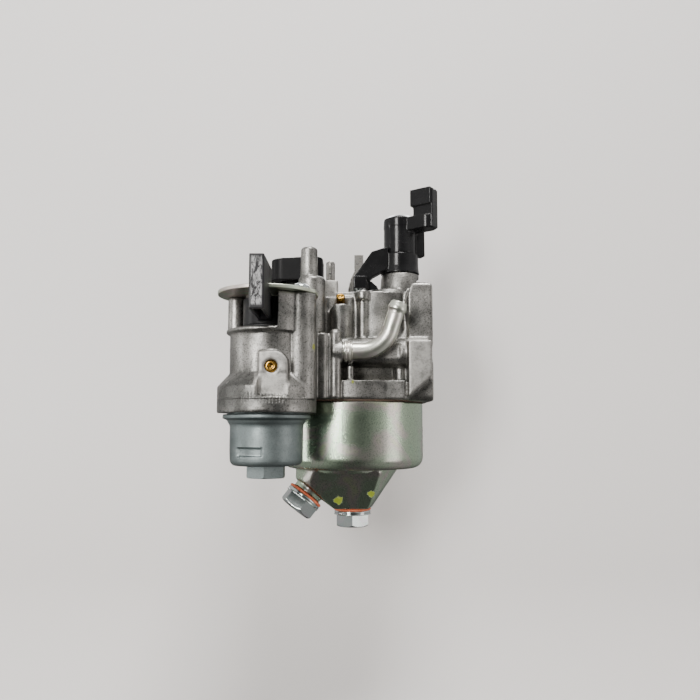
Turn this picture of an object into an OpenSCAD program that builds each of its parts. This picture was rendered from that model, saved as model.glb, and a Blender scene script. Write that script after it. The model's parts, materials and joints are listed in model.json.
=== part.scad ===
// Float-bowl carburetor for a small four-stroke engine, with a built-in fuel cock.
// Frame: +X runs through the throat from the engine flange to the air cleaner flange, +Z is up,
// +Y points away from the side that carries the fuel cock. The origin is the middle of the
// engine flange's face, where the throat axis meets it. Millimetres.

/* [Throat] */
// Length from the engine flange's face to the air cleaner flange's face
body_len = 72.2; // [71:0.1:74]
// Radius of the throat at the throttle plate
throttle_bore_r = 11.5; // [11:0.1:12]
// Radius of the throat at the choke plate
choke_bore_r = 12; // [11.5:0.1:12.5]
// Radius of the venturi
venturi_r = 9; // [8:0.1:10]

/* [Flanges] */
// Distance between the two stud holes
stud_spacing = 42; // [41:0.5:43]
// Radius of a stud hole
stud_hole_r = 3.3; // [3.1:0.05:3.4]
// Thickness of the engine flange
engine_flange_t = 8.5; // [8:0.1:9]
// Thickness of the air cleaner flange
air_flange_t = 8.9; // [8.5:0.1:9.5]

/* [Float bowl] */
// Outer radius of the bowl
bowl_r = 27; // [26.6:0.1:27]
// Sheet thickness of the bowl
bowl_wall = 0.8; // [0.6:0.1:1]
// Angle that the float drops from shut to empty
float_drop = 8; // [4:1:8]

/* [Fuel cock] */
// Outer radius of the sediment cup
cup_r = 12.2; // [12:0.1:12.3]
// Across flats of the sediment cup's nub and of the bowl bolts
hex_af = 12; // [11.5:0.1:12]
// Thickness of the fuel lever's handle
fuel_handle_t = 4.6; // [4:0.1:5]

/* [Hidden] */
$fn = 64;
eps = 0.01;
gap = 0.06;

// Places of the main axes
stud_y = stud_spacing / 2;
rim_z = -17;
bowl_x = 43;
throttle_x = 21.6;
choke_x = 62;
choke_y = 1.6;
cock_x = 14.2;
cock_y = -36;
venturi_x = bowl_x;

// Throttle side
throttle_boss_r = 6.6;
throttle_boss_top = 28.6;
shaft_r = 3;
shaft_foot_z = -15.2;
throttle_cap_half = [10, 9];
throttle_cap_corner = 4.6;
throttle_hub_z = 29.4;
throttle_hub_h = 9.2;
idle_x = 7.4;
idle_z = 24;
plate_t = 1.2;

// Choke side
choke_boss_r = 7.4;
choke_boss_top = 33;
choke_split_z = 41;
choke_hub_r = 6.5;
choke_hub_top = 56.8;
choke_arm_turn = -35;
knob_top = 66.1;

// Fuel cock
cock_top = 17.5;
cock_floor = 5.7;
cock_upper_r = 13.9;
cock_lower_r = 12.6;
cock_chamber_r = 8.7;
cock_flange_r = 16.6;
cock_flange_top = -13.5;
cock_parting_z = -17.6;
cock_foot = -22.1;
cup_mouth_r = 13.4;
cup_seat_z = -18.8;
plate_r = 17;
plate_h = 1.3;
post_x = 25.6;
post_y = -41;
post_r = 5.1;
far_post_x = 3.0;
far_post_y = -33.6;
far_post_r = 2.8;
pad_y = -50;

// Float bowl
bowl_top = rim_z - 0.6;
bowl_corner_z = -38;
bowl_shelf_z = -42;
bowl_foot_z = -57;
bowl_foot_r = 7.4;
bowl_shelf_r = 17.5;
column_r = 5.4;
drain_turn = 197;
drain_tilt = 51;
drain_mid = [27.1, -5.2, -49.9];
drain_neck_h = 2.2;
bolt_r = 3;
jet_bore_r = 2.6;

// Float
float_top = -24.2;
float_foot = -33.4;
pin_x = 24;
pin_z = -21.6;
pin_r = 0.9;
needle_x = 28.5;
needle_r = 1.5;

// Fuel inlet
tube_y = -28.6;
tube_z = -0.4;
tube_r = 2.95;
tube_bore_r = 2.1;
tube_start = 38.8;
tube_straight_end = 46.2;
tube_bend_r = 10.5;
tube_rise_turn = 72;

// Small parts
pilot_jet_x = 41.7;
bracket_screw_x = 44.9;

// ---- Helpers ----

module xcyl(r, x0, x1, y = 0, z = 0, r2 = undef) {
    translate([x0, y, z]) rotate([0, 90, 0])
        cylinder(h = x1 - x0, r1 = r, r2 = is_undef(r2) ? r : r2);
}

module ycyl(r, y0, y1, x = 0, z = 0) {
    translate([x, y1, z]) rotate([90, 0, 0]) cylinder(h = y1 - y0, r = r);
}

module zcyl(r, z0, z1, x = 0, y = 0, r2 = undef) {
    translate([x, y, z0]) cylinder(h = z1 - z0, r1 = r, r2 = is_undef(r2) ? r : r2);
}

module box(lo, hi) {
    translate(lo) cube(hi - lo);
}

// Points on an arc about a centre, from one angle to another
function arc(c, r, a0, a1, n = 8) =
    [for (i = [0:n]) let (a = a0 + (a1 - a0) * i / n) [c[0] + r * cos(a), c[1] + r * sin(a)]];

// A plate in the YZ plane, drawn with polygon x as -Z and polygon y as +Y, standing from x0 to x1
module yz_plate(x0, x1) {
    translate([x0, 0, 0]) rotate([0, 90, 0]) linear_extrude(x1 - x0) children();
}

module hex_head(af, h) {
    rotate([0, 0, 30]) cylinder(h = h, r = af / 2 / cos(30), $fn = 6);
}

// A pan head with a cross recess, standing on z = 0
module pan_head(r, h) {
    difference() {
        rotate_extrude() polygon(concat([[0, 0], [r, 0], [r, h * 0.45]], arc([r - h * 0.55, h * 0.45], h * 0.55, 10, 90, 5), [[0, h]]));
        for (turn = [0, 90])
            rotate([0, 0, turn]) translate([-r * 0.55, -r * 0.13, h * 0.4]) cube([r * 1.1, r * 0.26, h]);
    }
}

// ---- Body casting ----

// Outline of the engine flange: a round middle with an ear at each stud
module engine_flange_outline() {
    ear_r = 7.4;
    union() {
        circle(r = 18);
        for (side = [-1, 1])
            translate([0, side * stud_y]) circle(r = ear_r);
        polygon([[-11, -stud_y], [11, -stud_y], [14, 0], [11, stud_y], [-11, stud_y], [-14, 0]] * 0.6);
        translate([-ear_r, -stud_y]) square([2 * ear_r, 2 * stud_y]);
    }
}

// Outline of the air cleaner flange: a tall plate with a round-cornered top
module air_flange_outline() {
    top = 26.2;
    foot = 17.4;
    half = 20.5;
    corner = 1.6;
    polygon(concat(
        arc([-top + corner, half - corner], corner, 90, 180, 6),
        arc([-top + corner, -half + corner], corner, 180, 270, 6),
        arc([foot - 2, -half + 2], 2, -90, 0, 4),
        arc([foot - 2, half - 2], 2, 0, 90, 4)
    ));
}

// The stud lug on the air cleaner flange's side, with its lower outer corner cut away at a slope
module air_flange_lug(side) {
    x0 = body_len - air_flange_t;
    depth = 27.6;
    width = 12;
    scale_y = side < 0 ? -depth : depth - width;
    translate([0, scale_y + width, 0]) rotate([90, 0, 0]) linear_extrude(width)
        polygon([[x0 - 0.7, -16.2], [body_len - 1.3, -9.1], [body_len - 1.3, 3.7], [x0 - 0.7, 3.7]]);
}

// Side view of the air cleaner flange: sloped at its inner top corner, rounded at its outer one
module air_flange_side() {
    x0 = body_len - air_flange_t;
    translate([0, 30, 0]) rotate([90, 0, 0]) linear_extrude(60)
        polygon(concat([[x0 - 1, -20], [body_len + 1, -20], [body_len + 1, 23]],
            arc([body_len - 2.2, 24.1], 2.2, 0, 90, 6),
            [[x0 + 2, 26.3], [x0 + 0.7, 24.6], [x0 - 0.01, 21.6], [x0 - 1, 15]]));
}

module throat_outside() {
    difference() {
        union() {
            xcyl(16.4, 0, 44);
            xcyl(19.6, 41, body_len - 1);
            xcyl(16.4, 34, 41, r2 = 19.6);
        }
        box([30, -30, -30], [body_len + 1, 30, rim_z]);
    }
}

module bowl_rim() {
    zcyl(bowl_r + 0.9, rim_z, -10.3, bowl_x);
    box([41, -25.4, rim_z], [61.8, 25.4, -10.3]);
}

// Fuel cock housing, with its right-hand web and the two posts for the lever plate
module cock_outside() {
    zcyl(cock_lower_r, cock_flange_top, cock_top, cock_x, cock_y);
    zcyl(cock_upper_r, cock_floor, cock_top, cock_x, cock_y);
    zcyl(cock_upper_r, cock_floor - 1.4, cock_floor, cock_x, cock_y, r2 = cock_upper_r);
    zcyl(cock_flange_r, cock_foot, cock_flange_top, cock_x, cock_y);
    zcyl(cock_flange_r, cock_flange_top, -9.1, cock_x, cock_y, r2 = cock_lower_r);
    zcyl(post_r, cock_parting_z, cock_top, post_x, post_y);
    zcyl(far_post_r, cock_floor - 1.4, cock_top, far_post_x, far_post_y);
    box([cock_x, -43.4, cock_parting_z], [30.5, -34, cock_top]);
    box([16, -38, rim_z + 0.2], [30.6, -16, 6.4]);
    box([6, -28, -16], [26, -8, 4]);
    // pad for the brass plug
    intersection() {
        ycyl(12, pad_y - 0.3, -40, cock_x, -6);
        pad_block(pad_y - 0.3, -40);
    }
}

// Upright pad with a round upper corner, from y0 back to y1
module pad_block(y0, y1) {
    box([13, y0, -16.9], [22.3, y1, -6.8]);
    box([13, y0, -6.9], [18, y1, -2.5]);
    ycyl(4.3, y0, y1, 18, -6.8);
}

module columns() {
    // vent post with a shoulder
    zcyl(4.9, 6.4, 26.4, 28.3, -22.5);
    zcyl(4.9, 26.4, 27, 28.3, -22.5, r2 = 4.3);
    zcyl(3.25, 26.9, 37.4, 27.3, -22.5, r2 = 3.0);
    zcyl(3.0, 37.4, 38.2, 27.3, -22.5, r2 = 2.4);
    // ribs between the cock and the throat
    zcyl(2.1, rim_z, 5.8, 32.4, -30);
    zcyl(2.1, rim_z, 5.4, 36.9, -29.4);
    translate([36.9, -29.4, 5.4]) sphere(r = 2.1);
    box([30, -29.2, rim_z], [38, -16, 4.4]);
    box([35.4, -28, rim_z], [38.7, -16, 4.4]);
    // boss for the fuel inlet tube, with a rib below it
    xcyl(3.5, 36, tube_start + 1.2, tube_y, tube_z);
    zcyl(1.3, rim_z, -3, 42.2, -26.2);
    box([38, -27.4, rim_z], [42.2, -18, -11]);
    // pilot jet column with a sloped shoulder
    difference() {
        zcyl(4.3, -2, 23.2, 38.7, -20);
        translate([38.7, -24.3, 17.9]) rotate([-38, 0, 0]) translate([-8, -8, 0]) cube([16, 14, 12]);
    }
    box([30, -19.6, 2], [43, -6, 20.8]);
    box([37, -18.2, 20.7], [52, -6, 22.8]);
    // square pad under the vent pin
    box([32.6, -14, 12], [37.6, -6, 28]);
    // screw boss beside the choke cam
    zcyl(1.75, 2, 19.6, 46.9, -19.3);
    zcyl(2.5, 19.5, 22.9, 46.9, -19.3);
    box([43, -17.6, 4], [51.4, 8, 22.8]);
}

module bosses() {
    // throttle shaft tower, on a raised block
    zcyl(throttle_boss_r, 8, throttle_boss_top, throttle_x);
    box([13.2, -7.6, 8], [30, 9, 27.2]);
    box([8, -6, 8], [14, 9, 21]);
    box([19, -9.2, 20], [27.4, -6, 26.4]);
    // choke shaft tower, flaring down into the throat's side
    zcyl(choke_boss_r, 31.4, choke_boss_top, choke_x, choke_y);
    intersection() {
        zcyl(8.9, 14, 31.6, choke_x, choke_y, r2 = choke_boss_r + 0.2);
        box([50, -12, 14], [68.2, 14, 31.6]);
    }
    intersection() {
        translate([choke_x - 4.6, 0, -3.4]) cylinder(h = 29.6, r1 = 20.6, r2 = 7.6);
        box([43, -21, -3.4], [body_len - 8, 21, 27]);
    }
    intersection() {
        zcyl(19.4, -3.4, 22.6, 52, -1);
        box([43, -21, -3.4], [61.6, 4, 22.6]);
    }
    zcyl(2.4, rim_z, 4, 60.4, -19.4);
    zcyl(7, rim_z, -8, choke_x, choke_y);
    zcyl(6, rim_z, -8, throttle_x);
    // stud tunnels beside the throat
    for (side = [-1, 1])
        xcyl(5.2, 4, body_len - 2, side * stud_y);
    // idle stop screw boss and mixture screw boss on the far side
    ycyl(4.2, 6.4, 21, idle_x, idle_z);
    box([idle_x - 4.2, 6.4, 8], [idle_x + 4.2, 19, idle_z]);
    box([4, -6, 10], [12, 10, 22]);
    ycyl(4.4, 10, 25.5, 20.6, 11);
}

module body_solid() {
    throat_outside();
    yz_plate(0, engine_flange_t) engine_flange_outline();
    difference() {
        intersection() {
            yz_plate(body_len - air_flange_t, body_len) air_flange_outline();
            air_flange_side();
        }
        zcyl(bowl_r + 0.35, rim_z - 3, rim_z + 0.02, bowl_x);
    }
    for (side = [-1, 1]) air_flange_lug(side);
    bowl_rim();
    cock_outside();
    columns();
    bosses();
    // float chamber column, needle seat boss and hinge ears
    zcyl(column_r, bowl_foot_z + bowl_wall + 0.1, -10, bowl_x);
    zcyl(4.4, -19.4, -10, needle_x);
    for (side = [-1, 1])
        box([pin_x - 1.8, side > 0 ? 5.2 : -7.6, pin_z - 1.8], [pin_x + 1.8, side > 0 ? 7.6 : -5.2, -11]);
}

module plug_frame() {
    translate([38.7, -22.3, 19.5]) rotate([52, 0, 0]) children();
}

// Bores and chambers cut out of the casting
module body_bores() {
    xcyl(throttle_bore_r, -1, 34.5);
    xcyl(throttle_bore_r, 34.4, 38, r2 = venturi_r);
    xcyl(venturi_r, 37.9, 46);
    xcyl(venturi_r, 45.9, 49.4, r2 = choke_bore_r);
    xcyl(choke_bore_r, 49.3, body_len + 1);
    // wide mouth for the air cleaner's sleeve
    xcyl(choke_bore_r + 1.6, body_len - 2, body_len + 1);
    for (side = [-1, 1])
        xcyl(stud_hole_r, -1, body_len + 1, side * stud_y);
    // shaft bearings
    zcyl(shaft_r + 0.05, shaft_foot_z - 0.3, throttle_boss_top + 1, throttle_x);
    zcyl(shaft_r + 1.6, throttle_boss_top - 2.6, throttle_boss_top + 1, throttle_x);
    zcyl(shaft_r + 0.05, shaft_foot_z - 0.3, choke_boss_top + 1, choke_x, choke_y);
    // float chamber ceiling
    difference() {
        zcyl(24.2, rim_z - 1, -13.6, bowl_x);
        zcyl(column_r, rim_z - 2, -13, bowl_x);
        zcyl(4.4, rim_z - 2, -13, needle_x);
        zcyl(7, rim_z - 2, -13, choke_x, choke_y);
        zcyl(6, rim_z - 2, -13, throttle_x);
        for (side = [-1, 1])
            box([pin_x - 1.8, side > 0 ? 5.2 : -7.6, rim_z - 2], [pin_x + 1.8, side > 0 ? 7.6 : -5.2, -13]);
    }
    // column: bolt thread, main jet and nozzle
    zcyl(bolt_r + gap, bowl_foot_z, -49, bowl_x);
    zcyl(jet_bore_r + gap, -49.1, -8, bowl_x);
    // hinge pin, needle and its seat
    ycyl(pin_r + gap, -9, 9, pin_x, pin_z);
    zcyl(2.5 + gap, -20, -13.2, needle_x);
    // fuel cock chamber, its window and its passages
    zcyl(cock_chamber_r, cock_floor, cock_top + 1, cock_x, cock_y);
    difference() {
        box([-4, -54, cock_floor], [18.8, -31.4, cock_top + 1]);
        zcyl(far_post_r, cock_floor - 1, cock_top + 2, far_post_x, far_post_y);
    }
    difference() {
        pad_block(-56, pad_y);
        box([12, pad_y - 0.3, -9], [23, pad_y + 1, -2]);
    }
    for (side = [-1, 1])
        zcyl(1.6, -15, cock_floor + 1, cock_x + side * 4.4, cock_y);
    // sediment cup's seat and thread
    zcyl(cup_mouth_r, cock_foot - 1, cup_seat_z, cock_x, cock_y);
    zcyl(10.2, cock_foot - 1, -14.2, cock_x, cock_y);
    // screw threads of the lever plate
    zcyl(1.5, 8, cock_top + 1, post_x, post_y);
    zcyl(1.5, 8, cock_top + 1, far_post_x, far_post_y);
    // fuel inlet
    xcyl(tube_r + gap, 37, body_len - 30, tube_y, tube_z);
    // flat beside the tube on the stud tunnel
    box([tube_start + 1.21, -34, -5.3], [60, -25.4, 6]);
    xcyl(3.9, tube_start + 1.21, tube_start + 4.5, tube_y, tube_z);
    // brass plugs
    ycyl(2.1, -52, -46, 16.9, -7.4);
    plug_frame() cylinder(h = 8, r = 1.7, center = true);
    // pilot jet, vent pin, bracket screw
    zcyl(2.2 + gap, 8, 24, pilot_jet_x, -13);
    zcyl(3.2, 20.75, 24, pilot_jet_x, -13);
    zcyl(1.7, 20, 30, 34.7, -9.6);
    zcyl(1.25, 12, 24, 46.9, -19.3);
    zcyl(1.25, 18, 24, bracket_screw_x, 4.6);
    // idle stop screw and mixture screw
    ycyl(2.05, 2, 30, idle_x, idle_z);
    ycyl(1.9, 12, 30, 20.6, 11);
}

module carburetor_body() {
    color([0.66, 0.66, 0.67]) difference() {
        body_solid();
        body_bores();
    }
}

// ---- Throttle ----

module throttle_shaft() {
    color([0.62, 0.62, 0.6]) difference() {
        zcyl(shaft_r, shaft_foot_z, throttle_hub_z + throttle_hub_h - 2.2, throttle_x);
        // slot for the plate
        box([throttle_x - plate_t / 2 - 0.02, -6, -throttle_bore_r - 0.02], [throttle_x + plate_t / 2 + 0.02, 6, throttle_bore_r + 0.02]);
        for (z = [-5, 5]) xcyl(1.2, throttle_x - 4, throttle_x + 4, 0, z);
    }
}

module throttle_plate() {
    color([0.78, 0.64, 0.32]) difference() {
        xcyl(throttle_bore_r - 0.12, throttle_x - plate_t / 2, throttle_x + plate_t / 2);
        for (z = [-5, 5]) xcyl(1.2, throttle_x - 4, throttle_x + 4, 0, z);
    }
}

module plate_screw() {
    cylinder(h = 4.9, r = 1.14);
    translate([0, 0, 4.8]) difference() {
        cylinder(h = 1.1, r = 1.9);
        translate([-2, -0.25, 0.5]) cube([4, 0.5, 1]);
    }
}

module throttle_plate_screws() {
    color([0.8, 0.72, 0.45])
        for (z = [-5, 5]) translate([throttle_x - 1.75, 0, z]) rotate([0, 90, 0]) plate_screw();
}

// Round-cornered cap with a slightly sloping top, a governor arm and an ear for the stop
module throttle_lever() {
    hx = throttle_cap_half[0];
    hy = throttle_cap_half[1];
    c = throttle_cap_corner;
    z0 = throttle_hub_z;
    color([0.07, 0.07, 0.075]) translate([throttle_x, 0, 0]) difference() {
        union() {
            difference() {
                union() {
                    for (sx = [-1, 1]) for (sy = [-1, 1]) zcyl(c, z0, z0 + throttle_hub_h, sx * (hx - c), sy * (hy - c));
                    box([-hx, -hy + c, z0], [hx, hy - c, z0 + throttle_hub_h]);
                    box([-hx + c, -hy, z0], [hx - c, hy, z0 + throttle_hub_h]);
                }
                // sloping top
                translate([0, 0, z0 + throttle_hub_h - 0.5]) rotate([0, -3, 0]) box([-20, -20, 0], [20, 20, 5]);
                // open underside round the middle hub
                difference() {
                    zcyl(7.4, z0 - 1, z0 + 4);
                    zcyl(4.8, z0 - 2, z0 + 5);
                }
            }
            // governor arm
            box([-3.4, hy - 2, z0], [3.4, 30, z0 + 3.4]);
            zcyl(3.4, z0, z0 + 3.4, 0, 30);
            // ear above the idle screw
            box([idle_x - throttle_x - 2.2, 0, z0], [-hx + 2, 3.6, z0 + 3]);
        }
        zcyl(0.95, z0 - 1, z0 + 2.2, idle_x - throttle_x - 0.3, 1.8);
        zcyl(shaft_r + gap, z0 - 1, z0 + throttle_hub_h - 2);
        for (y = [21, 29]) zcyl(1.2, z0 - 1, z0 + 5, 0, y);
    }
}

// Square steel stop pressed up into the cap's ear: it meets the idle screw's tip
module throttle_stop_tab() {
    color([0.1, 0.1, 0.11]) {
        box([idle_x - 2.15, 0.05, 22.4], [idle_x + 1.55, 3.55, throttle_hub_z - 0.03]);
        zcyl(0.92, throttle_hub_z - 1, throttle_hub_z + 2.1, idle_x - 0.3, 1.8);
    }
}

module throttle_seal() {
    color([0.12, 0.12, 0.12]) difference() {
        zcyl(shaft_r + 1.5, throttle_boss_top - 2.5, throttle_boss_top + 0.6, throttle_x);
        zcyl(shaft_r + 0.1, throttle_boss_top - 3, throttle_boss_top + 1, throttle_x);
    }
}

module idle_stop_screw() {
    color([0.1, 0.1, 0.11]) {
        ycyl(1.95, 4.1, 27, idle_x, idle_z);
        ycyl(4.4, 27, 31.5, idle_x, idle_z);
        for (i = [0:7]) translate([idle_x, 31.3, idle_z]) rotate([90, i * 45 + 11, 0]) translate([4.1, 0, 0]) cylinder(h = 4.1, r = 0.8);
    }
}

module coil_spring(r, wire, length, turns) {
    sides = 8;
    per_turn = 14;
    n = turns * per_turn;
    pitch = (length - 2 * wire) / turns;
    // each ring of the wire's section stands across the helix
    points = [for (i = [0:n]) let (a = 360 * i / per_turn, z = wire + pitch * i / per_turn)
        for (j = [0:sides - 1]) let (b = 360 * j / sides)
            [(r + wire * cos(b)) * cos(a), (r + wire * cos(b)) * sin(a), z + wire * sin(b)]];
    sides_faces = [for (i = [0:n - 1]) for (j = [0:sides - 1]) let (k = (j + 1) % sides)
        [i * sides + j, (i + 1) * sides + j, (i + 1) * sides + k, i * sides + k]];
    polyhedron(points = points,
        faces = concat([[for (j = [0:sides - 1]) j]], sides_faces, [[for (j = [sides - 1:-1:0]) n * sides + j]]));
}

module idle_stop_spring() {
    color([0.7, 0.7, 0.68]) translate([idle_x, 21.05, idle_z]) rotate([-90, 0, 0]) coil_spring(2.9, 0.4, 5.9, 5);
}

module mixture_screw() {
    color([0.75, 0.6, 0.3]) {
        ycyl(1.85, 12.2, 26.5, 20.6, 11);
        ycyl(2.6, 26.4, 28, 20.6, 11);
    }
}

module mixture_limiter_cap() {
    color([0.08, 0.08, 0.09]) difference() {
        union() {
            ycyl(4.3, 25.8, 32, 20.6, 11);
            box([20.6, 28.4, 9.6], [26.4, 32, 12.4]);
        }
        ycyl(2.65, 25, 28.1, 20.6, 11);
        box([17.5, 31, 10.6], [23.7, 33, 11.4]);
    }
}

// ---- Choke ----

module choke_shaft() {
    color([0.62, 0.62, 0.6]) difference() {
        zcyl(shaft_r, shaft_foot_z, choke_hub_top - 2.2, choke_x, choke_y);
        box([choke_x - 6, choke_y - plate_t / 2 - 0.02, -choke_bore_r - 0.02], [choke_x + 6, choke_y + plate_t / 2 + 0.02, choke_bore_r + 0.02]);
        for (z = [-5, 5]) ycyl(1.2, choke_y - 4, choke_y + 4, choke_x, z);
    }
}

// Flat plate, parallel to the air flow when the choke is open, hung off centre, with a relief hole
module choke_plate() {
    color([0.72, 0.72, 0.68]) difference() {
        ycyl(choke_bore_r - 0.4, choke_y - plate_t / 2, choke_y + plate_t / 2, choke_x - choke_y);
        for (z = [-5, 5]) ycyl(1.2, choke_y - 4, choke_y + 4, choke_x, z);
        ycyl(1.6, choke_y - 4, choke_y + 4, choke_x - 8, 2);
    }
}

module choke_plate_screws() {
    color([0.8, 0.72, 0.45])
        for (z = [-5, 5]) translate([choke_x, choke_y + 1.75, z]) rotate([90, 0, 0]) plate_screw();
}

// Hand lever: a hub with a short arm and an upright thumb tab
module choke_lever() {
    z0 = choke_split_z + 0.1;
    top = choke_hub_top;
    color([0.06, 0.06, 0.065]) translate([choke_x, choke_y, 0]) difference() {
        union() {
            zcyl(choke_hub_r - 0.15, z0, 52.4);
            zcyl(choke_hub_r, 52, top - 1.4);
            zcyl(choke_hub_r, top - 1.4, top, r2 = choke_hub_r - 2.2);
            rotate([0, 0, choke_arm_turn]) {
                box([0, -3.6, 50], [12.8, 3.6, top - 1.5]);
                zcyl(3.6, 50, top - 1.5, 12.4);
                box([7.4, -2.2, 50.2], [16, 2.2, knob_top - 0.6]);
                box([6.4, -2.8, top + 2.6], [15.4, 2.8, knob_top]);
            }
            // stiffening wing beside the hub
            rotate([0, 0, 20]) box([0, -2.4, z0 - 0.04], [9.9, 1.4, 51.2]);
        }
        zcyl(shaft_r + gap, z0 - 1, top - 2);
    }
}

// Cam below the hand lever, with a sloping arm that opens the throttle a little at full choke
module choke_cam() {
    z0 = choke_boss_top + 0.25;
    color([0.06, 0.06, 0.065]) difference() {
        union() {
            zcyl(choke_hub_r + 0.75, z0, choke_split_z, choke_x, choke_y);
            zcyl(choke_hub_r + 1.15, z0 + 0.02, z0 + 3.2, choke_x, choke_y, r2 = choke_hub_r + 0.7);
            // sloping web
            translate([0, 0.4, 0]) rotate([90, 0, 0]) linear_extrude(4.4)
                polygon([[57, 43.6], [50.6, 41.6], [46, 35], [43.4, 31.4], [43.4, 26.45], [48.96, 26.45], [48.96, 29.4], [51.2, 31.6], [57, 34.8]]);
            box([43.45, -6.6, 26.5], [48.4, -1.6, 31.35]);
            translate([0, -1, 0]) rotate([90, 0, 0]) linear_extrude(2)
                polygon([[48.9, 26.5], [53.3, 26.5], [52.6, 28], [50.6, 29.8], [48.9, 30.2]]);
        }
        zcyl(shaft_r + gap, z0 - 1, choke_split_z + 4, choke_x, choke_y);
        zcyl(choke_hub_r + 0.2, choke_split_z, choke_split_z + 4, choke_x, choke_y);
    }
}

module choke_detent_spring() {
    color([0.7, 0.7, 0.68]) difference() {
        zcyl(choke_boss_r - 1.4, choke_boss_top + 0.02, choke_boss_top + 0.22, choke_x, choke_y);
        zcyl(shaft_r + 0.3, choke_boss_top - 1, choke_boss_top + 1, choke_x, choke_y);
    }
}

// ---- Fuel cock ----

// Disc in the chamber with a stem through the window; the upright handle grips the lever plate's edge in a notch
module fuel_lever() {
    t = fuel_handle_t / 2;
    reach = 31;
    edge = -plate_r - 0.5;
    color([0.08, 0.08, 0.085]) translate([cock_x, cock_y, 0]) difference() {
        union() {
            zcyl(cock_chamber_r - 0.25, cock_floor + 1.3, cock_top - 1.2);
            box([-t, -21, 8.2], [t, 0, cock_top - 1.2]);
            difference() {
                box([-t, -reach, 8.2], [t, edge + 7.6, 25]);
                box([-t - 1, edge, cock_top - 1.2], [t + 1, 0, cock_top + plate_h + 0.5]);
                box([-t - 1, edge + 7, 8], [t + 1, 0, 26]);
            }
        }
        // hollow under the handle
        box([-t + 1.1, -reach + 1.4, 7], [t - 1.1, -12, 13]);
        for (turn = [0, 90]) rotate([0, 0, turn]) translate([-3.4, -0.8, cock_top - 2.4]) cube([6.8, 1.6, 3]);
    }
}

module lever_plate() {
    z0 = cock_top + 0.02;
    color([0.76, 0.77, 0.7]) difference() {
        union() {
            zcyl(plate_r, z0, z0 + plate_h, cock_x, cock_y);
            intersection() {
                box([cock_x, -48.6, z0], [30.6, -36, z0 + plate_h]);
                zcyl(25, z0, z0 + plate_h, 12, -26);
            }
        }
        zcyl(1.8, z0 - 1, z0 + 3, post_x, post_y);
        zcyl(1.8, z0 - 1, z0 + 3, far_post_x, far_post_y);
        // clear of the vent post
        zcyl(5.4, z0 - 1, z0 + 3, 28.3, -22.5);
    }
}

module lever_plate_screws() {
    z0 = cock_top + plate_h + 0.04;
    color([0.78, 0.8, 0.8])
        for (p = [[post_x, post_y], [far_post_x, far_post_y]]) translate([p[0], p[1], 0]) {
            translate([0, 0, z0]) pan_head(2.9, 2.2);
            zcyl(1.44, 9, z0 + 0.1);
        }
}

module lever_wave_spring() {
    color([0.72, 0.72, 0.7]) difference() {
        zcyl(7.8, cock_top - 1.1, cock_top - 0.1, cock_x, cock_y);
        zcyl(5.8, cock_top - 2, cock_top + 1, cock_x, cock_y);
    }
}

module cock_gasket() {
    color([0.1, 0.1, 0.1]) difference() {
        zcyl(cock_chamber_r - 0.3, cock_floor + 0.03, cock_floor + 1.2, cock_x, cock_y);
        for (side = [-1, 1]) zcyl(1.9, cock_floor - 1, cock_floor + 2, cock_x + side * 4.4, cock_y);
    }
}

module sediment_strainer() {
    color([0.8, 0.7, 0.4]) difference() {
        zcyl(9.8, -22.3, -20.3, cock_x, cock_y);
        zcyl(8.9, -21.7, -19, cock_x, cock_y);
    }
}

module sediment_ring() {
    color([0.09, 0.09, 0.09]) difference() {
        zcyl(cup_mouth_r - 0.2, -20, cup_seat_z - 0.05, cock_x, cock_y);
        zcyl(10.6, -21, -18, cock_x, cock_y);
    }
}

// Die-cast cup with a thin rim, a rounded foot, a hex nub and a plain recessed panel
module sediment_cup() {
    corner = 4;
    foot = -39.4;
    color([0.6, 0.64, 0.66]) translate([cock_x, cock_y, 0]) difference() {
        union() {
            rotate_extrude() polygon(concat(
                [[0, -20.1], [cup_mouth_r - 0.15, -20.1], [cup_mouth_r - 0.15, -22.5], [14.7, -22.5], [14.7, -23.7], [cup_r + 0.9, -24.4], [cup_r, -25.6]],
                arc([cup_r - corner, foot + corner], corner, 0, -90, 8),
                [[0, foot]]));
            translate([0, 0, foot - 4.1]) hex_head(hex_af, 4.3);
        }
        rotate_extrude() polygon(concat(
            [[0, -19], [10.9, -19], [10.9, -22.4], [cup_r - 1.6, -23.4]],
            arc([cup_r - corner, foot + corner], corner - 1.6, 0, -90, 8),
            [[0, foot + 1.6]]));
        // recessed panel, left plain
        rotate([0, 0, -112]) box([cup_r - 0.8, -4.6, -36], [cup_r + 2, 4.6, -33.3]);
    }
}

module lever_side_parts() {
    lever_plate();
    lever_plate_screws();
}

// ---- Fuel inlet ----

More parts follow.
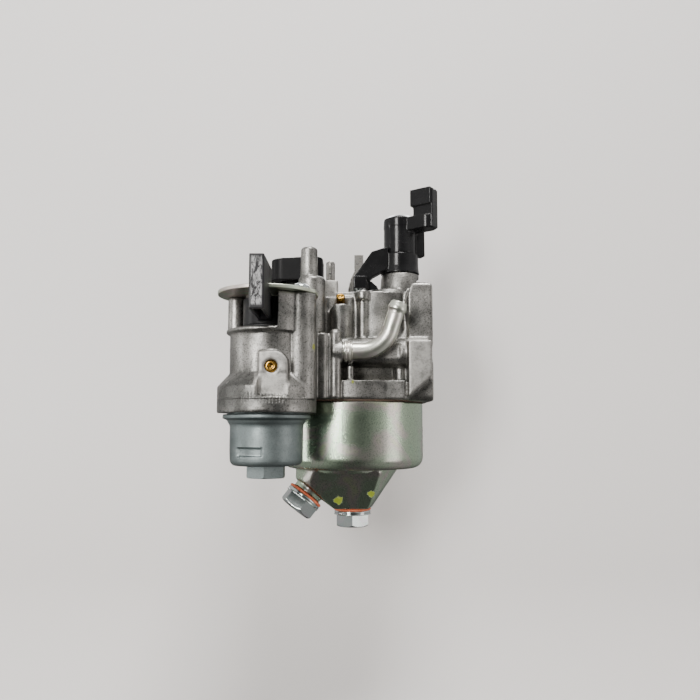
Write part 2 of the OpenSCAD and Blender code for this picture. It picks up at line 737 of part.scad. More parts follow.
// The tube leaves along +X, then bends upwards to an outlet with a raised bead
module fuel_inlet_tube() {
    c = [tube_straight_end, tube_y, tube_z];
    rise = tube_rise_turn;
    len = 10.6;
    module section(r0, r1) {
        difference() { circle(r = r1); circle(r = r0); }
    }
    color([0.7, 0.71, 0.66]) union() {
        difference() {
            xcyl(tube_r + 0.02, tube_start, tube_straight_end + 0.25, tube_y, tube_z);
            xcyl(tube_bore_r + 0.02, tube_start - 1, tube_straight_end + 1, tube_y, tube_z);
        }
        // bend in the XZ plane about an axis along Y
        translate([c[0], c[1], c[2] + tube_bend_r]) rotate([90, 0, 0]) rotate([0, 0, -90])
            rotate_extrude(angle = rise) translate([tube_bend_r, 0]) section(tube_bore_r, tube_r);
        // straight end with a bead
        translate([c[0] + tube_bend_r * sin(rise), c[1], c[2] + tube_bend_r * (1 - cos(rise))])
            rotate([0, 90 - rise, 0]) {
                difference() {
                    union() {
                        translate([0, 0, -0.25]) cylinder(h = len + 0.25, r = tube_r + 0.02);
                        translate([0, 0, len - 3.6]) rotate_extrude()
                            polygon([[0, 0], [tube_r, 0], [tube_r + 0.45, 0.8], [tube_r + 0.45, 1.3], [tube_r + 0.06, 3.6], [0, 3.6]]);
                    }
                    translate([0, 0, -1]) cylinder(h = len + 2, r = tube_bore_r + 0.02);
                }
            }
    }
}

module tube_ferrule() {
    color([0.72, 0.73, 0.7]) difference() {
        union() {
            xcyl(3.75, tube_start + 1.3, tube_start + 3.4, tube_y, tube_z);
            xcyl(3.5, tube_start + 3.39, tube_start + 4.2, tube_y, tube_z, r2 = 3.4);
        }
        xcyl(tube_r + 0.04, tube_start, tube_start + 6, tube_y, tube_z);
    }
}

// ---- Float bowl ----

// Solid filling of the bowl, drawn inset by d all over
module bowl_filling(d) {
    corner = 4;
    translate([bowl_x, 0, 0]) rotate_extrude() polygon(concat(
        [[0, bowl_top + d * 2], [bowl_r - d, bowl_top + d * 2]],
        arc([bowl_r - corner, bowl_shelf_z + corner], corner - d, 0, -90, 8),
        [[0, bowl_shelf_z + d]]));
    difference() {
        hull() {
            zcyl(bowl_shelf_r - d, bowl_shelf_z - 0.2, bowl_shelf_z + d, bowl_x);
            zcyl(19 - d, bowl_shelf_z - 0.2, bowl_shelf_z + d, bowl_x - 2.6, $fn = 48);
            zcyl(bowl_foot_r - d, bowl_foot_z + d, bowl_foot_z + d + 0.2, bowl_x, $fn = 32);
            // flat flanks
            box([30.6 + d, -16.2 + d, -44.6], [51.2 - d, 16.2 - d, -44.2]);
            box([36.4 + d, -8.4 + d, bowl_foot_z + d], [48.4 - d, 8.4 - d, bowl_foot_z + d + 0.3]);
            // seat of the drain
            drain_frame() translate([0, 0, -d - 0.3]) cylinder(h = 0.3, r = 6.8 - d, $fn = 32);
        }
        // flat front face of the funnel
        translate([bowl_x, -14 + 0.884 * d, -44.6 + 0.466 * d]) rotate([27.8, 0, 0])
            box([-40, -20, -40], [40, 0, 2.6]);
    }
}

module drain_frame() {
    translate(drain_mid) rotate([0, 90 + drain_tilt, drain_turn]) children();
}

module float_bowl() {
    color([0.74, 0.75, 0.72]) difference() {
        union() {
            bowl_filling(0);
            drain_frame() translate([0, 0, -1]) cylinder(h = drain_neck_h + 1, r = 5.6);
        }
        bowl_filling(bowl_wall);
        zcyl(25, bowl_top - 3, bowl_top + 1, bowl_x);
        zcyl(bolt_r + 0.2, bowl_foot_z - 1, bowl_foot_z + 2, bowl_x);
        drain_frame() translate([0, 0, -4]) cylinder(h = 9, r = bolt_r + gap);
    }
}

module bowl_gasket() {
    color([0.16, 0.1, 0.07]) difference() {
        zcyl(bowl_r + 0.1, bowl_top + 0.02, rim_z - 0.02, bowl_x);
        zcyl(24.6, bowl_top - 1, rim_z + 1, bowl_x);
    }
}

// Flange bolt pointing up from z = 0, where its flange meets the washer
module flange_bolt(shank) {
    difference() {
        union() {
            translate([0, 0, -0.1]) cylinder(h = shank + 0.1, r = bolt_r);
            translate([0, 0, -1.3]) cylinder(h = 1.3, r1 = 6.7, r2 = 6.9);
            translate([0, 0, -6]) intersection() {
                hex_head(hex_af, 4.9);
                cylinder(h = 4.9, r1 = 5.9, r2 = 9.4);
            }
        }
        translate([0, 0, -7]) cylinder(h = 1.4, r = 3.4);
    }
}

module washer_ring(r) {
    difference() {
        cylinder(h = 0.96, r = r);
        translate([0, 0, -1]) cylinder(h = 3, r = bolt_r + 0.3);
    }
}

module bowl_bolt() {
    color([0.72, 0.75, 0.76]) translate([bowl_x, 0, bowl_foot_z - 1.02]) flange_bolt(8);
}

module bowl_bolt_washer() {
    color([0.6, 0.18, 0.1]) translate([bowl_x, 0, bowl_foot_z - 0.98]) washer_ring(7.1);
}

module drain_bolt() {
    color([0.72, 0.75, 0.76]) drain_frame() translate([0, 0, drain_neck_h + 1.02]) rotate([180, 0, 0])
        flange_bolt(drain_neck_h + 2.6);
}

module drain_washer() {
    color([0.6, 0.18, 0.1]) drain_frame() translate([0, 0, drain_neck_h + 0.02]) washer_ring(7.0);
}

// ---- Float and jets ----

// Horseshoe float round the column, with two arms back to the hinge pin, drawn hanging at its lowest
module float_part() {
    color([0.14, 0.14, 0.13]) translate([pin_x, 0, pin_z]) rotate([0, float_drop, 0]) translate([-pin_x, 0, -pin_z]) difference() {
        union() {
            difference() {
                zcyl(22.6, float_foot, float_top, bowl_x);
                zcyl(9.6, float_foot - 1, float_top + 1, bowl_x);
                box([14, -9, float_foot - 1], [bowl_x - 4, 9, float_top + 1]);
            }
            for (side = [-1, 1])
                box([pin_x - 2, side > 0 ? 2.6 : -4.8, pin_z - 2], [38, side > 0 ? 4.8 : -2.6, pin_z + 1.6]);
            box([34.6, -12, float_top - 1], [38, 12, pin_z + 0.4]);
            box([needle_x - 2, -4.8, pin_z - 2], [needle_x + 2, 4.8, pin_z - 0.8]);
        }
        ycyl(pin_r + gap, -9, 9, pin_x, pin_z);
        zcyl(column_r + 1.8, float_foot - 1, pin_z + 3, bowl_x);
    }
}

module float_pin() {
    color([0.75, 0.75, 0.74]) ycyl(pin_r, -8.6, 8.6, pin_x, pin_z);
}

module float_needle() {
    drop = (needle_x - pin_x) * sin(float_drop);
    color([0.2, 0.2, 0.2]) translate([0, 0, -drop]) {
        zcyl(needle_r, pin_z - 0.45, -16.2, needle_x);
        zcyl(needle_r, -16.2, -14.6, needle_x, 0, r2 = 0.3);
    }
}

module needle_seat() {
    color([0.8, 0.66, 0.3]) difference() {
        zcyl(2.5, -19.3, -13.3, needle_x);
        zcyl(needle_r + 0.15, -20, -15.9, needle_x);
        zcyl(needle_r + 0.15, -15.9, -14, needle_x, 0, r2 = 0.7);
        zcyl(0.7, -14.1, -12, needle_x);
    }
}

module main_nozzle() {
    color([0.8, 0.66, 0.3]) difference() {
        zcyl(jet_bore_r, -44, -5.6, bowl_x);
        zcyl(1.3, -45, -5, bowl_x);
        for (z = [-24, -29, -34]) ycyl(0.5, -4, 4, bowl_x, z);
    }
}

module main_jet() {
    color([0.8, 0.66, 0.3]) difference() {
        zcyl(jet_bore_r, -48.6, -44.1, bowl_x);
        zcyl(0.6, -50, -43, bowl_x);
        box([bowl_x - 3, -0.4, -49], [bowl_x + 3, 0.4, -47.8]);
    }
}

module pilot_jet() {
    color([0.8, 0.66, 0.3]) difference() {
        union() {
            zcyl(2.2, 8.1, 20.6, pilot_jet_x, -13);
            zcyl(3, 20.85, 22.6, pilot_jet_x, -13);
            zcyl(2.2, 20.5, 20.9, pilot_jet_x, -13);
        }
        box([pilot_jet_x - 4, -13.4, 21.6], [pilot_jet_x + 4, -12.6, 23]);
    }
}

module passage_plugs() {
    color([0.7, 0.52, 0.2]) {
        ycyl(2.05, -49.6, -46.1, 16.9, -7.4);
        plug_frame() translate([0, 0, -2]) cylinder(h = 3.4, r = 1.65);
    }
}

module vent_pin() {
    color([0.5, 0.5, 0.48]) zcyl(1.66, 20.2, 36.3, 34.7, -9.6);
}

// Bent strip beside the choke cam that guides the governor's link
module link_bracket() {
    color([0.78, 0.77, 0.74]) {
        difference() {
            box([41.2, -1.6, 22.86], [48.2, 8.6, 23.9]);
            zcyl(1.5, 22, 25, bracket_screw_x, 4.6);
        }
        translate([0, 8.6, 0]) rotate([90, 0, 0]) linear_extrude(1)
            polygon([[41.2, 23], [41.4, 29], [42.4, 33], [43.8, 36], [43.9, 43], [47.5, 43], [47.5, 36], [46.6, 32], [46.4, 23]]);
    }
}

module bracket_screw() {
    color([0.72, 0.74, 0.74]) translate([bracket_screw_x, 4.6, 0]) {
        translate([0, 0, 23.95]) pan_head(2.4, 1.6);
        zcyl(1.2, 19, 24);
    }
}

carburetor_body();
throttle_shaft();
throttle_plate();
throttle_plate_screws();
throttle_lever();
throttle_stop_tab();
throttle_seal();
choke_shaft();
choke_plate();
choke_plate_screws();
choke_lever();
choke_cam();
choke_detent_spring();
idle_stop_screw();
idle_stop_spring();
mixture_screw();
mixture_limiter_cap();
fuel_lever();
lever_plate();
lever_plate_screws();
lever_wave_spring();
cock_gasket();
sediment_strainer();
sediment_ring();
sediment_cup();
fuel_inlet_tube();
tube_ferrule();
float_bowl();
bowl_gasket();
bowl_bolt();
bowl_bolt_washer();
drain_bolt();
drain_washer();
float_part();  // float
float_pin();
float_needle();
needle_seat();
main_nozzle();
main_jet();
pilot_jet();
passage_plugs();
vent_pin();
link_bracket();
bracket_screw();
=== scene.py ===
"""Float-bowl carburetor of a small four-stroke engine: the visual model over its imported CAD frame.

Lengths are in millimetres until a mesh is made, and each mesh is then scaled to metres. +X runs
through the throat towards the air cleaner, +Z is up, and the fuel cock is on the -Y side.
"""

import json
import logging
import math
from dataclasses import dataclass
from enum import Enum
from typing import Any, Callable, Sequence

import bmesh
import bpy
import numpy as np
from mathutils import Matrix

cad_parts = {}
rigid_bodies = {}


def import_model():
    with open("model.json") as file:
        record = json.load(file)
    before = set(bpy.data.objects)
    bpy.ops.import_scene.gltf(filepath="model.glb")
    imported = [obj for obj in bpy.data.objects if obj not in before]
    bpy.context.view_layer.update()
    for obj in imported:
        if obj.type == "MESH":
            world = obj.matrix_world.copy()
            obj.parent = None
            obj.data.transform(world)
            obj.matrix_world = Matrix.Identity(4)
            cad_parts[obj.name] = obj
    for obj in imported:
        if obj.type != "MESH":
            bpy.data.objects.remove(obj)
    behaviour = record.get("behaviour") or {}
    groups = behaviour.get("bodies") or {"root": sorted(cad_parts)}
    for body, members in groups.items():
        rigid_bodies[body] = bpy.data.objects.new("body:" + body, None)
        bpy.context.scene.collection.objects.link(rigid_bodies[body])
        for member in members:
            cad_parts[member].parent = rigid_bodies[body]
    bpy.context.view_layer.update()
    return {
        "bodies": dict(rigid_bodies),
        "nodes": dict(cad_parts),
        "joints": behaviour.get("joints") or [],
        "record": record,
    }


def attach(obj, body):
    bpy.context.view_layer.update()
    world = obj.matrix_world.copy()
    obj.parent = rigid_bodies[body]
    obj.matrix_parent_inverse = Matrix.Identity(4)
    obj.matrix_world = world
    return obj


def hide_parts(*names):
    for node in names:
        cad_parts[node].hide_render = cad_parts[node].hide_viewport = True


log = logging.getLogger("carburetor")
MM = 0.001
COCK_X, COCK_Y = 14.2, -36.0  # the fuel cock's upright axis
Colour = tuple[float, float, float]
Point = tuple[float, float, float]


# ---------------------------------------------------------------- surfaces

@dataclass
class Surface:
    """A mesh held as arrays: points in millimetres, and four-cornered faces."""

    points: np.ndarray
    faces: np.ndarray

    def turned(self, matrix: np.ndarray) -> "Surface":
        """Returns the surface turned by a 3 x 3 matrix."""
        return Surface(self.points @ np.asarray(matrix).T, self.faces)

    def moved(self, offset: Sequence[float]) -> "Surface":
        """Returns the surface moved by an offset in millimetres."""
        return Surface(self.points + np.asarray(offset, float), self.faces)

    def with_(self, *others: "Surface") -> "Surface":
        """Returns one surface that holds this one and the others."""
        points, faces, base = [self.points], [self.faces], len(self.points)
        for other in others:
            points.append(other.points)
            faces.append(other.faces + base)
            base += len(other.points)
        return Surface(np.vstack(points), np.vstack(faces))


def grid_faces(rows: int, columns: int, ring: bool) -> np.ndarray:
    """Joins neighbouring points of a grid whose columns close on themselves.

    Args:
        rows: how many rows of points there are.
        columns: how many points a row holds.
        ring: True where the last row joins the first.

    Returns:
        An array of four point numbers per face.
    """
    row = np.arange(rows if ring else rows - 1)[:, None]
    column = np.arange(columns)[None, :]
    after, beside = (row + 1) % rows, (column + 1) % columns
    corners = [row * columns + column, row * columns + beside,
               after * columns + beside, after * columns + column]
    return np.stack([np.broadcast_to(c, (len(row), columns)) for c in corners], -1).reshape(-1, 4)


def rounded(corners: Sequence[tuple[float, float, float]], steps: int = 6) -> np.ndarray:
    """Rounds the corners of an open line of (x, y, radius) corners.

    Each corner becomes a quadratic curve B(t) = (1-t)^2 a + 2t(1-t) c + t^2 b, where a and b lie on
    the two sides at the radius's distance from the corner c, or half a side where that is shorter.

    Args:
        corners: the corners, each with its rounding.
        steps: how many points stand on each rounded corner.

    Returns:
        An array of (x, y) points.
    """
    c = np.asarray(corners, float)
    t = np.linspace(0, 1, steps)[:, None]
    line = [c[:1, :2]]
    for before, here, after in zip(c[:-2], c[1:-1], c[2:]):
        if here[2] <= 0:
            line.append(here[None, :2])
            continue
        back, ahead = before[:2] - here[:2], after[:2] - here[:2]
        a = here[:2] + back * min(0.49, here[2] / max(np.linalg.norm(back), 1e-9))
        b = here[:2] + ahead * min(0.49, here[2] / max(np.linalg.norm(ahead), 1e-9))
        line.append((1 - t) ** 2 * a + 2 * t * (1 - t) * here[:2] + t ** 2 * b)
    line.append(c[-1:, :2])
    return np.vstack(line)


def divided(line: np.ndarray, step: float) -> tuple[np.ndarray, np.ndarray, np.ndarray]:
    """Adds points along a line, so that its longer sides are divided into short steps.

    Args:
        line: the (x, y) points.
        step: the distance between the added points.

    Returns:
        The new points, the old points' distances along the line, and the new points' distances.
    """
    at = np.concatenate([[0], np.cumsum(np.linalg.norm(np.diff(line, axis=0), axis=1))])
    fine = np.unique(np.concatenate([at, np.arange(0, at[-1], step)]))
    return np.stack([np.interp(fine, at, line[:, 0]), np.interp(fine, at, line[:, 1])], -1), at, fine


def revolved(profile: np.ndarray, segments: int = 96, ring: bool = False,
             shape: Callable[[np.ndarray, np.ndarray, np.ndarray], np.ndarray] | None = None) -> Surface:
    """Turns a profile of (radius, height) points round the z axis.

    A point is (r cos a, r sin a, h), where r is the profile's radius, or shape(r, h, a) where the
    section isn't a plain circle. A profile that starts and ends on the axis closes there.

    Args:
        profile: the (radius, height) points.
        segments: how many points stand round the axis.
        ring: True where the profile is a closed loop.
        shape: gives the radius for arrays of radius, height and angle.

    Returns:
        The surface.
    """
    angle = np.linspace(0, 2 * np.pi, segments, endpoint=False)[None, :]
    radius = np.repeat(profile[:, :1], segments, 1)
    height = np.repeat(profile[:, 1:], segments, 1)
    if shape is not None:
        radius = shape(radius, height, np.repeat(angle, len(profile), 0))
    points = np.stack([radius * np.cos(angle), radius * np.sin(angle), height], -1)
    return Surface(points.reshape(-1, 3), grid_faces(len(profile), segments, ring))


def swept(path: np.ndarray, across: np.ndarray, radius: np.ndarray, segments: int,
          ring: bool = False) -> Surface:
    """Carries a circle along a path.

    A point is p + r (cos b u + sin b v), where p is the path's point, u is the given direction
    across the path, and v stands square to u and to the path.

    Args:
        path: the path's points.
        across: one direction per point, square to the path.
        radius: the circle's radius at each point.
        segments: how many points stand round the circle.
        ring: True where the last circle joins the first.

    Returns:
        The surface; its last circle joins its first where it is a ring, and its ends are left open
        otherwise.
    """
    along = np.gradient(path, axis=0)
    along /= np.maximum(np.linalg.norm(along, axis=1, keepdims=True), 1e-12)
    u = across - (across * along).sum(1, keepdims=True) * along
    u /= np.maximum(np.linalg.norm(u, axis=1, keepdims=True), 1e-12)
    v = np.cross(along, u)
    angle = np.linspace(0, 2 * np.pi, segments, endpoint=False)[None, :, None]
    r = np.asarray(radius, float)[:, None, None]
    points = path[:, None] + r * (np.cos(angle) * u[:, None] + np.sin(angle) * v[:, None])
    return Surface(points.reshape(-1, 3), grid_faces(len(path), segments, ring))


def about(axis: str, degrees: float) -> np.ndarray:
    """Returns the matrix that turns points about a named axis."""
    a = math.radians(degrees)
    c, s = math.cos(a), math.sin(a)
    return np.array({"x": [[1, 0, 0], [0, c, -s], [0, s, c]],
                     "y": [[c, 0, s], [0, 1, 0], [-s, 0, c]],
                     "z": [[c, -s, 0], [s, c, 0], [0, 0, 1]]}[axis])


def smoothed(value: np.ndarray, low: float, high: float) -> np.ndarray:
    """Rises from 0 at low to 1 at high as 3t^2 - 2t^3."""
    t = np.clip((value - low) / (high - low), 0, 1)
    return t * t * (3 - 2 * t)


def hexagon(across: float, angle: np.ndarray) -> np.ndarray:
    """Gives a hexagon's radius at each angle: half the width across flats over the cosine of the
    angle from the nearest flat's middle."""
    return across / 2 / np.cos((angle + np.pi / 6) % (np.pi / 3) - np.pi / 6)


# ---------------------------------------------------------------- pieces

def tidy(mesh: bpy.types.Mesh, distance: float = 1e-6) -> None:
    """Merges doubled points, drops flat faces and turns all faces outwards."""
    work = bmesh.new()
    work.from_mesh(mesh)
    bmesh.ops.remove_doubles(work, verts=work.verts, dist=distance)
    bmesh.ops.dissolve_degenerate(work, edges=work.edges, dist=distance * 0.1)
    bmesh.ops.recalc_face_normals(work, faces=work.faces)
    work.to_mesh(mesh)
    work.free()


def shade(mesh: bpy.types.Mesh, crease: float) -> None:
    """Shades a mesh smoothly, with creases where two faces meet at more than an angle in degrees."""
    mesh.shade_smooth()
    if crease < 180:
        mesh.set_sharp_from_angle(angle=math.radians(crease))


def placed(name: str, mesh: bpy.types.Mesh) -> bpy.types.Object:
    """Puts a mesh into the scene as an object at the origin."""
    piece = bpy.data.objects.new(name, mesh)
    bpy.context.scene.collection.objects.link(piece)
    return piece


def piece_from(name: str, surface: Surface, crease: float = 40) -> bpy.types.Object:
    """Makes an object from a surface.

    Args:
        name: the piece's name.
        surface: its points and faces.
        crease: the angle between faces, in degrees, past which an edge stays sharp.

    Returns:
        The object.
    """
    mesh = bpy.data.meshes.new(name)
    mesh.from_pydata((surface.points * MM).tolist(), [], surface.faces.tolist())
    tidy(mesh)
    shade(mesh, crease)
    return placed(name, mesh)


def evaluated(piece: bpy.types.Object) -> bpy.types.Mesh:
    """Returns a new mesh with the object's modifiers applied."""
    graph = bpy.context.evaluated_depsgraph_get()
    graph.update()
    return bpy.data.meshes.new_from_object(piece.evaluated_get(graph))


def softened(name: str, node: bpy.types.Object, voxel: float, passes: int, budget: int = 190_000,
             move: Callable[[np.ndarray, np.ndarray], np.ndarray] | None = None) -> bpy.types.Object:
    """Makes a cast or moulded piece from a CAD node: its sharp corners become small radii.

    The node's mesh is copied and merged, filled with voxels, relaxed by moving each point halfway
    towards the middle of its neighbours, and thinned to a budget of triangles.

    Args:
        name: the piece's name.
        node: the CAD node.
        voxel: the voxel size in millimetres.
        passes: how many times the points are relaxed.
        budget: the most triangles the piece may have.
        move: gives new points from the points and their normals, both in millimetres.

    Returns:
        The object, which doesn't yet ride on anything.
    """
    mesh = node.data.copy()
    mesh.materials.clear()
    tidy(mesh, 2e-6)
    piece = placed(name, mesh)
    filled = piece.modifiers.new("Voxels", "REMESH")
    filled.mode, filled.voxel_size, filled.use_smooth_shade = "VOXEL", voxel * MM, True
    relaxed = piece.modifiers.new("Relaxed", "SMOOTH")
    relaxed.factor, relaxed.iterations = 0.5, passes
    piece.data = evaluated(piece)
    piece.modifiers.clear()
    if move is not None:
        count = len(piece.data.vertices)
        points, normals = np.zeros(count * 3, np.float32), np.zeros(count * 3, np.float32)
        piece.data.vertices.foreach_get("co", points)
        piece.data.vertex_normals.foreach_get("vector", normals)
        changed = move(points.reshape(-1, 3) / MM, normals.reshape(-1, 3)) * MM
        piece.data.vertices.foreach_set("co", changed.astype(np.float32).ravel())
        piece.data.update()
    triangles = sum(len(p.vertices) - 2 for p in piece.data.polygons)
    if triangles > budget:
        thinned = piece.modifiers.new("Thinned", "DECIMATE")
        thinned.ratio = budget / triangles
        piece.data = evaluated(piece)
        piece.modifiers.clear()
    shade(piece.data, 180)
    piece.data.name = name
    return piece


def smooth_modifier() -> bpy.types.NodeTree:
    """Returns the node group that merges a CAD node's loose triangles and shades them smoothly.

    Edges whose faces meet at more than 32 degrees stay sharp.
    """
    name = "Merge and shade"
    if name in bpy.data.node_groups:
        return bpy.data.node_groups[name]
    tree = bpy.data.node_groups.new(name, "GeometryNodeTree")
    tree.interface.new_socket(name="Geometry", in_out="INPUT", socket_type="NodeSocketGeometry")
    tree.interface.new_socket(name="Geometry", in_out="OUTPUT", socket_type="NodeSocketGeometry")
    start, end = tree.nodes.new("NodeGroupInput"), tree.nodes.new("NodeGroupOutput")
    merge = tree.nodes.new("GeometryNodeMergeByDistance")
    merge.inputs["Distance"].default_value = 2e-6
    angle = tree.nodes.new("GeometryNodeInputMeshEdgeAngle")
    steep = tree.nodes.new("FunctionNodeCompare")
    steep.data_type, steep.operation = "FLOAT", "GREATER_THAN"
    steep.inputs[1].default_value = math.radians(32)
    faces = tree.nodes.new("GeometryNodeSetShadeSmooth")
    faces.domain = "FACE"
    edges = tree.nodes.new("GeometryNodeSetShadeSmooth")
    edges.domain = "EDGE"
    edges.inputs["Shade Smooth"].default_value = False
    tree.links.new(start.outputs[0], merge.inputs["Geometry"])
    tree.links.new(merge.outputs["Geometry"], faces.inputs["Geometry"])
    tree.links.new(faces.outputs["Geometry"], edges.inputs["Geometry"])
    tree.links.new(angle.outputs["Unsigned Angle"], steep.inputs[0])
    tree.links.new(steep.outputs["Result"], edges.inputs["Selection"])
    tree.links.new(edges.outputs["Geometry"], end.inputs[0])
    return tree


def dress(node: bpy.types.Object, material: bpy.types.Material, bevel: float = 0.0) -> None:
    """Gives a carried-over CAD node its finish, smooth shading and softened edges.

    Args:
        node: the CAD node.
        material: its finish.
        bevel: the width of its edge rounding in millimetres, or 0 for none.
    """
    merged = node.modifiers.new("Merged", "NODES")
    merged.node_group = smooth_modifier()
    if bevel > 0:
        edge = node.modifiers.new("Edges", "BEVEL")
        edge.width, edge.segments, edge.limit_method = bevel * MM, 2, "ANGLE"
        edge.angle_limit, edge.harden_normals = math.radians(40), False
    paint(node, material)


def paint(piece: bpy.types.Object, material: bpy.types.Material) -> None:
    """Makes a material the piece's only one."""
    piece.data.materials.clear()
    piece.data.materials.append(material)


# ---------------------------------------------------------------- shader nodes

class Weaver:
    """Places shader nodes and joins them, so that a finish reads as a short list of steps."""

    def __init__(self, tree: bpy.types.NodeTree) -> None:
        """Starts on a node tree."""
        self.tree = tree

    def place(self, kind: str, settings: dict[str, Any] | None = None,
              inputs: dict[Any, Any] | None = None) -> bpy.types.Node:
        """Adds a node.

        Args:
            kind: the node's Blender type.
            settings: its options.
            inputs: a value or another node's socket for each input's name or number.

        Returns:
            The node.
        """
        node = self.tree.nodes.new(kind)
        for key, value in (settings or {}).items():
            setattr(node, key, value)
        for key, value in (inputs or {}).items():
            self.feed(node.inputs[key], value)
        return node

    def feed(self, socket: bpy.types.NodeSocket, value: Any) -> None:
        """Links a socket to another socket, or sets its value."""
        if isinstance(value, bpy.types.NodeSocket):
            self.tree.links.new(value, socket)
        elif socket.type == "RGBA" and len(value) == 3:
            socket.default_value = (*value, 1.0)
        else:
            socket.default_value = value

    def coordinates(self, scale: Point = (1, 1, 1), turn: Point = (0, 0, 0)) -> bpy.types.NodeSocket:
        """Gives Object coordinates, turned in degrees and stretched."""
        source = self.place("ShaderNodeTexCoord").outputs["Object"]
        node = self.place("ShaderNodeMapping", inputs={"Vector": source})
        node.inputs["Scale"].default_value = scale
        node.inputs["Rotation"].default_value = [math.radians(a) for a in turn]
        return node.outputs["Vector"]

    def noise(self, vector: Any, scale: Any, detail: float = 4, roughness: float = 0.55,
              twist: float = 0) -> bpy.types.NodeSocket:
        """Gives cloudy values between 0 and 1."""
        return self.place("ShaderNodeTexNoise", inputs={
            "Vector": vector, "Scale": scale, "Detail": detail, "Roughness": roughness,
            "Distortion": twist}).outputs["Fac"]

    def cells(self, vector: Any, scale: Any) -> bpy.types.NodeSocket:
        """Gives the distance to the nearest of scattered points."""
        node = self.place("ShaderNodeTexVoronoi", inputs={"Vector": vector, "Scale": scale})
        return node.outputs["Distance"]

    def remap(self, value: Any, low: Any, high: Any, to_low: Any = 0.0, to_high: Any = 1.0,
              soft: bool = False) -> bpy.types.NodeSocket:
        """Maps a range of values to another range, and stays inside it."""
        kind = "SMOOTHSTEP" if soft else "LINEAR"
        return self.place("ShaderNodeMapRange", {"interpolation_type": kind}, {
            "Value": value, "From Min": low, "From Max": high, "To Min": to_low,
            "To Max": to_high}).outputs["Result"]

    def math(self, operation: str, a: Any, b: Any = 0.0, held: bool = False) -> bpy.types.NodeSocket:
        """Works out a + b, a * b or another named operation."""
        settings = {"operation": operation, "use_clamp": held}
        return self.place("ShaderNodeMath", settings, {0: a, 1: b}).outputs[0]

    def times(self, *values: Any) -> bpy.types.NodeSocket:
        """Multiplies two or more values."""
        product = values[0]
        for value in values[1:]:
            product = self.math("MULTIPLY", product, value)
        return product

    def place_xyz(self) -> tuple[bpy.types.NodeSocket, ...]:
        """Gives the x, y and z of the Object coordinates in metres."""
        source = self.place("ShaderNodeTexCoord").outputs["Object"]
        return tuple(self.place("ShaderNodeSeparateXYZ", inputs={0: source}).outputs)

    def blend(self, amount: Any, a: Any, b: Any, mode: str = "MIX") -> bpy.types.NodeSocket:
        """Mixes colour a towards colour b."""
        return self.place("ShaderNodeMix", {"data_type": "RGBA", "blend_type": mode, "clamp_factor": True},
                          {0: amount, 6: a, 7: b}).outputs[2]

    def ramp(self, value: Any, stops: Sequence[tuple[float, Colour]]) -> bpy.types.NodeSocket:
        """Gives a colour for each value from a row of stops."""
        node = self.place("ShaderNodeValToRGB", inputs={0: value})
        elements = node.color_ramp.elements
        while len(elements) < len(stops):
            elements.new(0.5)
        for element, (position, colour) in zip(elements, stops):
            element.position, element.color = position, (*colour, 1.0)
        return node.outputs["Color"]

    def bump(self, height: Any, depth: float, below: Any = None) -> bpy.types.NodeSocket:
        """Turns a height into a normal; depth is in millimetres."""
        node = self.place("ShaderNodeBump", inputs={"Height": height, "Distance": depth * MM,
                                                    "Strength": 1.0})
        if below is not None:
            self.feed(node.inputs["Normal"], below)
        return node.outputs["Normal"]

    def group(self, name: str, inputs: dict[str, Any]) -> bpy.types.Node:
        """Places a shared effect with its own values."""
        node = self.place("ShaderNodeGroup", {"node_tree": SHARED[name]()})
        for key, value in inputs.items():
            self.feed(node.inputs[key], value)
        return node


def effect(name: str, inputs: dict[str, tuple[str, Any]], outputs: dict[str, str]
           ) -> tuple[Weaver, bpy.types.Node, bpy.types.Node] | None:
    """Starts a shader node group, or returns None where it is already built.

    Args:
        name: the group's name.
        inputs: the socket kind and starting value of each input.
        outputs: the socket kind of each output.

    Returns:
        A weaver on the group, and its input and output nodes.
    """
    if name in bpy.data.node_groups:
        return None
    tree = bpy.data.node_groups.new(name, "ShaderNodeTree")
    for key, (kind, value) in inputs.items():
        tree.interface.new_socket(name=key, in_out="INPUT", socket_type=kind).default_value = value
    for key, kind in outputs.items():
        tree.interface.new_socket(name=key, in_out="OUTPUT", socket_type=kind)
    return Weaver(tree), tree.nodes.new("NodeGroupInput"), tree.nodes.new("NodeGroupOutput")


NUMBER, SHADE, ARROW = "NodeSocketFloat", "NodeSocketColor", "NodeSocketVector"


def surface_grain() -> bpy.types.NodeTree:
    """Builds the grain of a cast or moulded surface: fine pits over soft clouds."""
    made = effect("Surface grain", {"Scale": (NUMBER, 500.0), "Pits": (NUMBER, 0.5)},
                  {"Cloud": NUMBER, "Height": NUMBER})
    if made:
        w, given, out = made
        at = w.coordinates()
        scale = given.outputs["Scale"]
        cloud = w.noise(at, w.times(scale, 0.12), 5, 0.6)
        fine = w.noise(at, scale, 3, 0.6)
        pit = w.remap(w.cells(at, w.times(scale, 1.6)), 0.0, 0.45, 0.0, 1.0, True)
        dents = w.times(w.math("SUBTRACT", pit, 1.0), given.outputs["Pits"])
        w.feed(out.inputs["Cloud"], cloud)
        w.feed(out.inputs["Height"], w.math("ADD", w.math("ADD", fine, dents), w.times(cloud, 1.5)))
    return bpy.data.node_groups["Surface grain"]


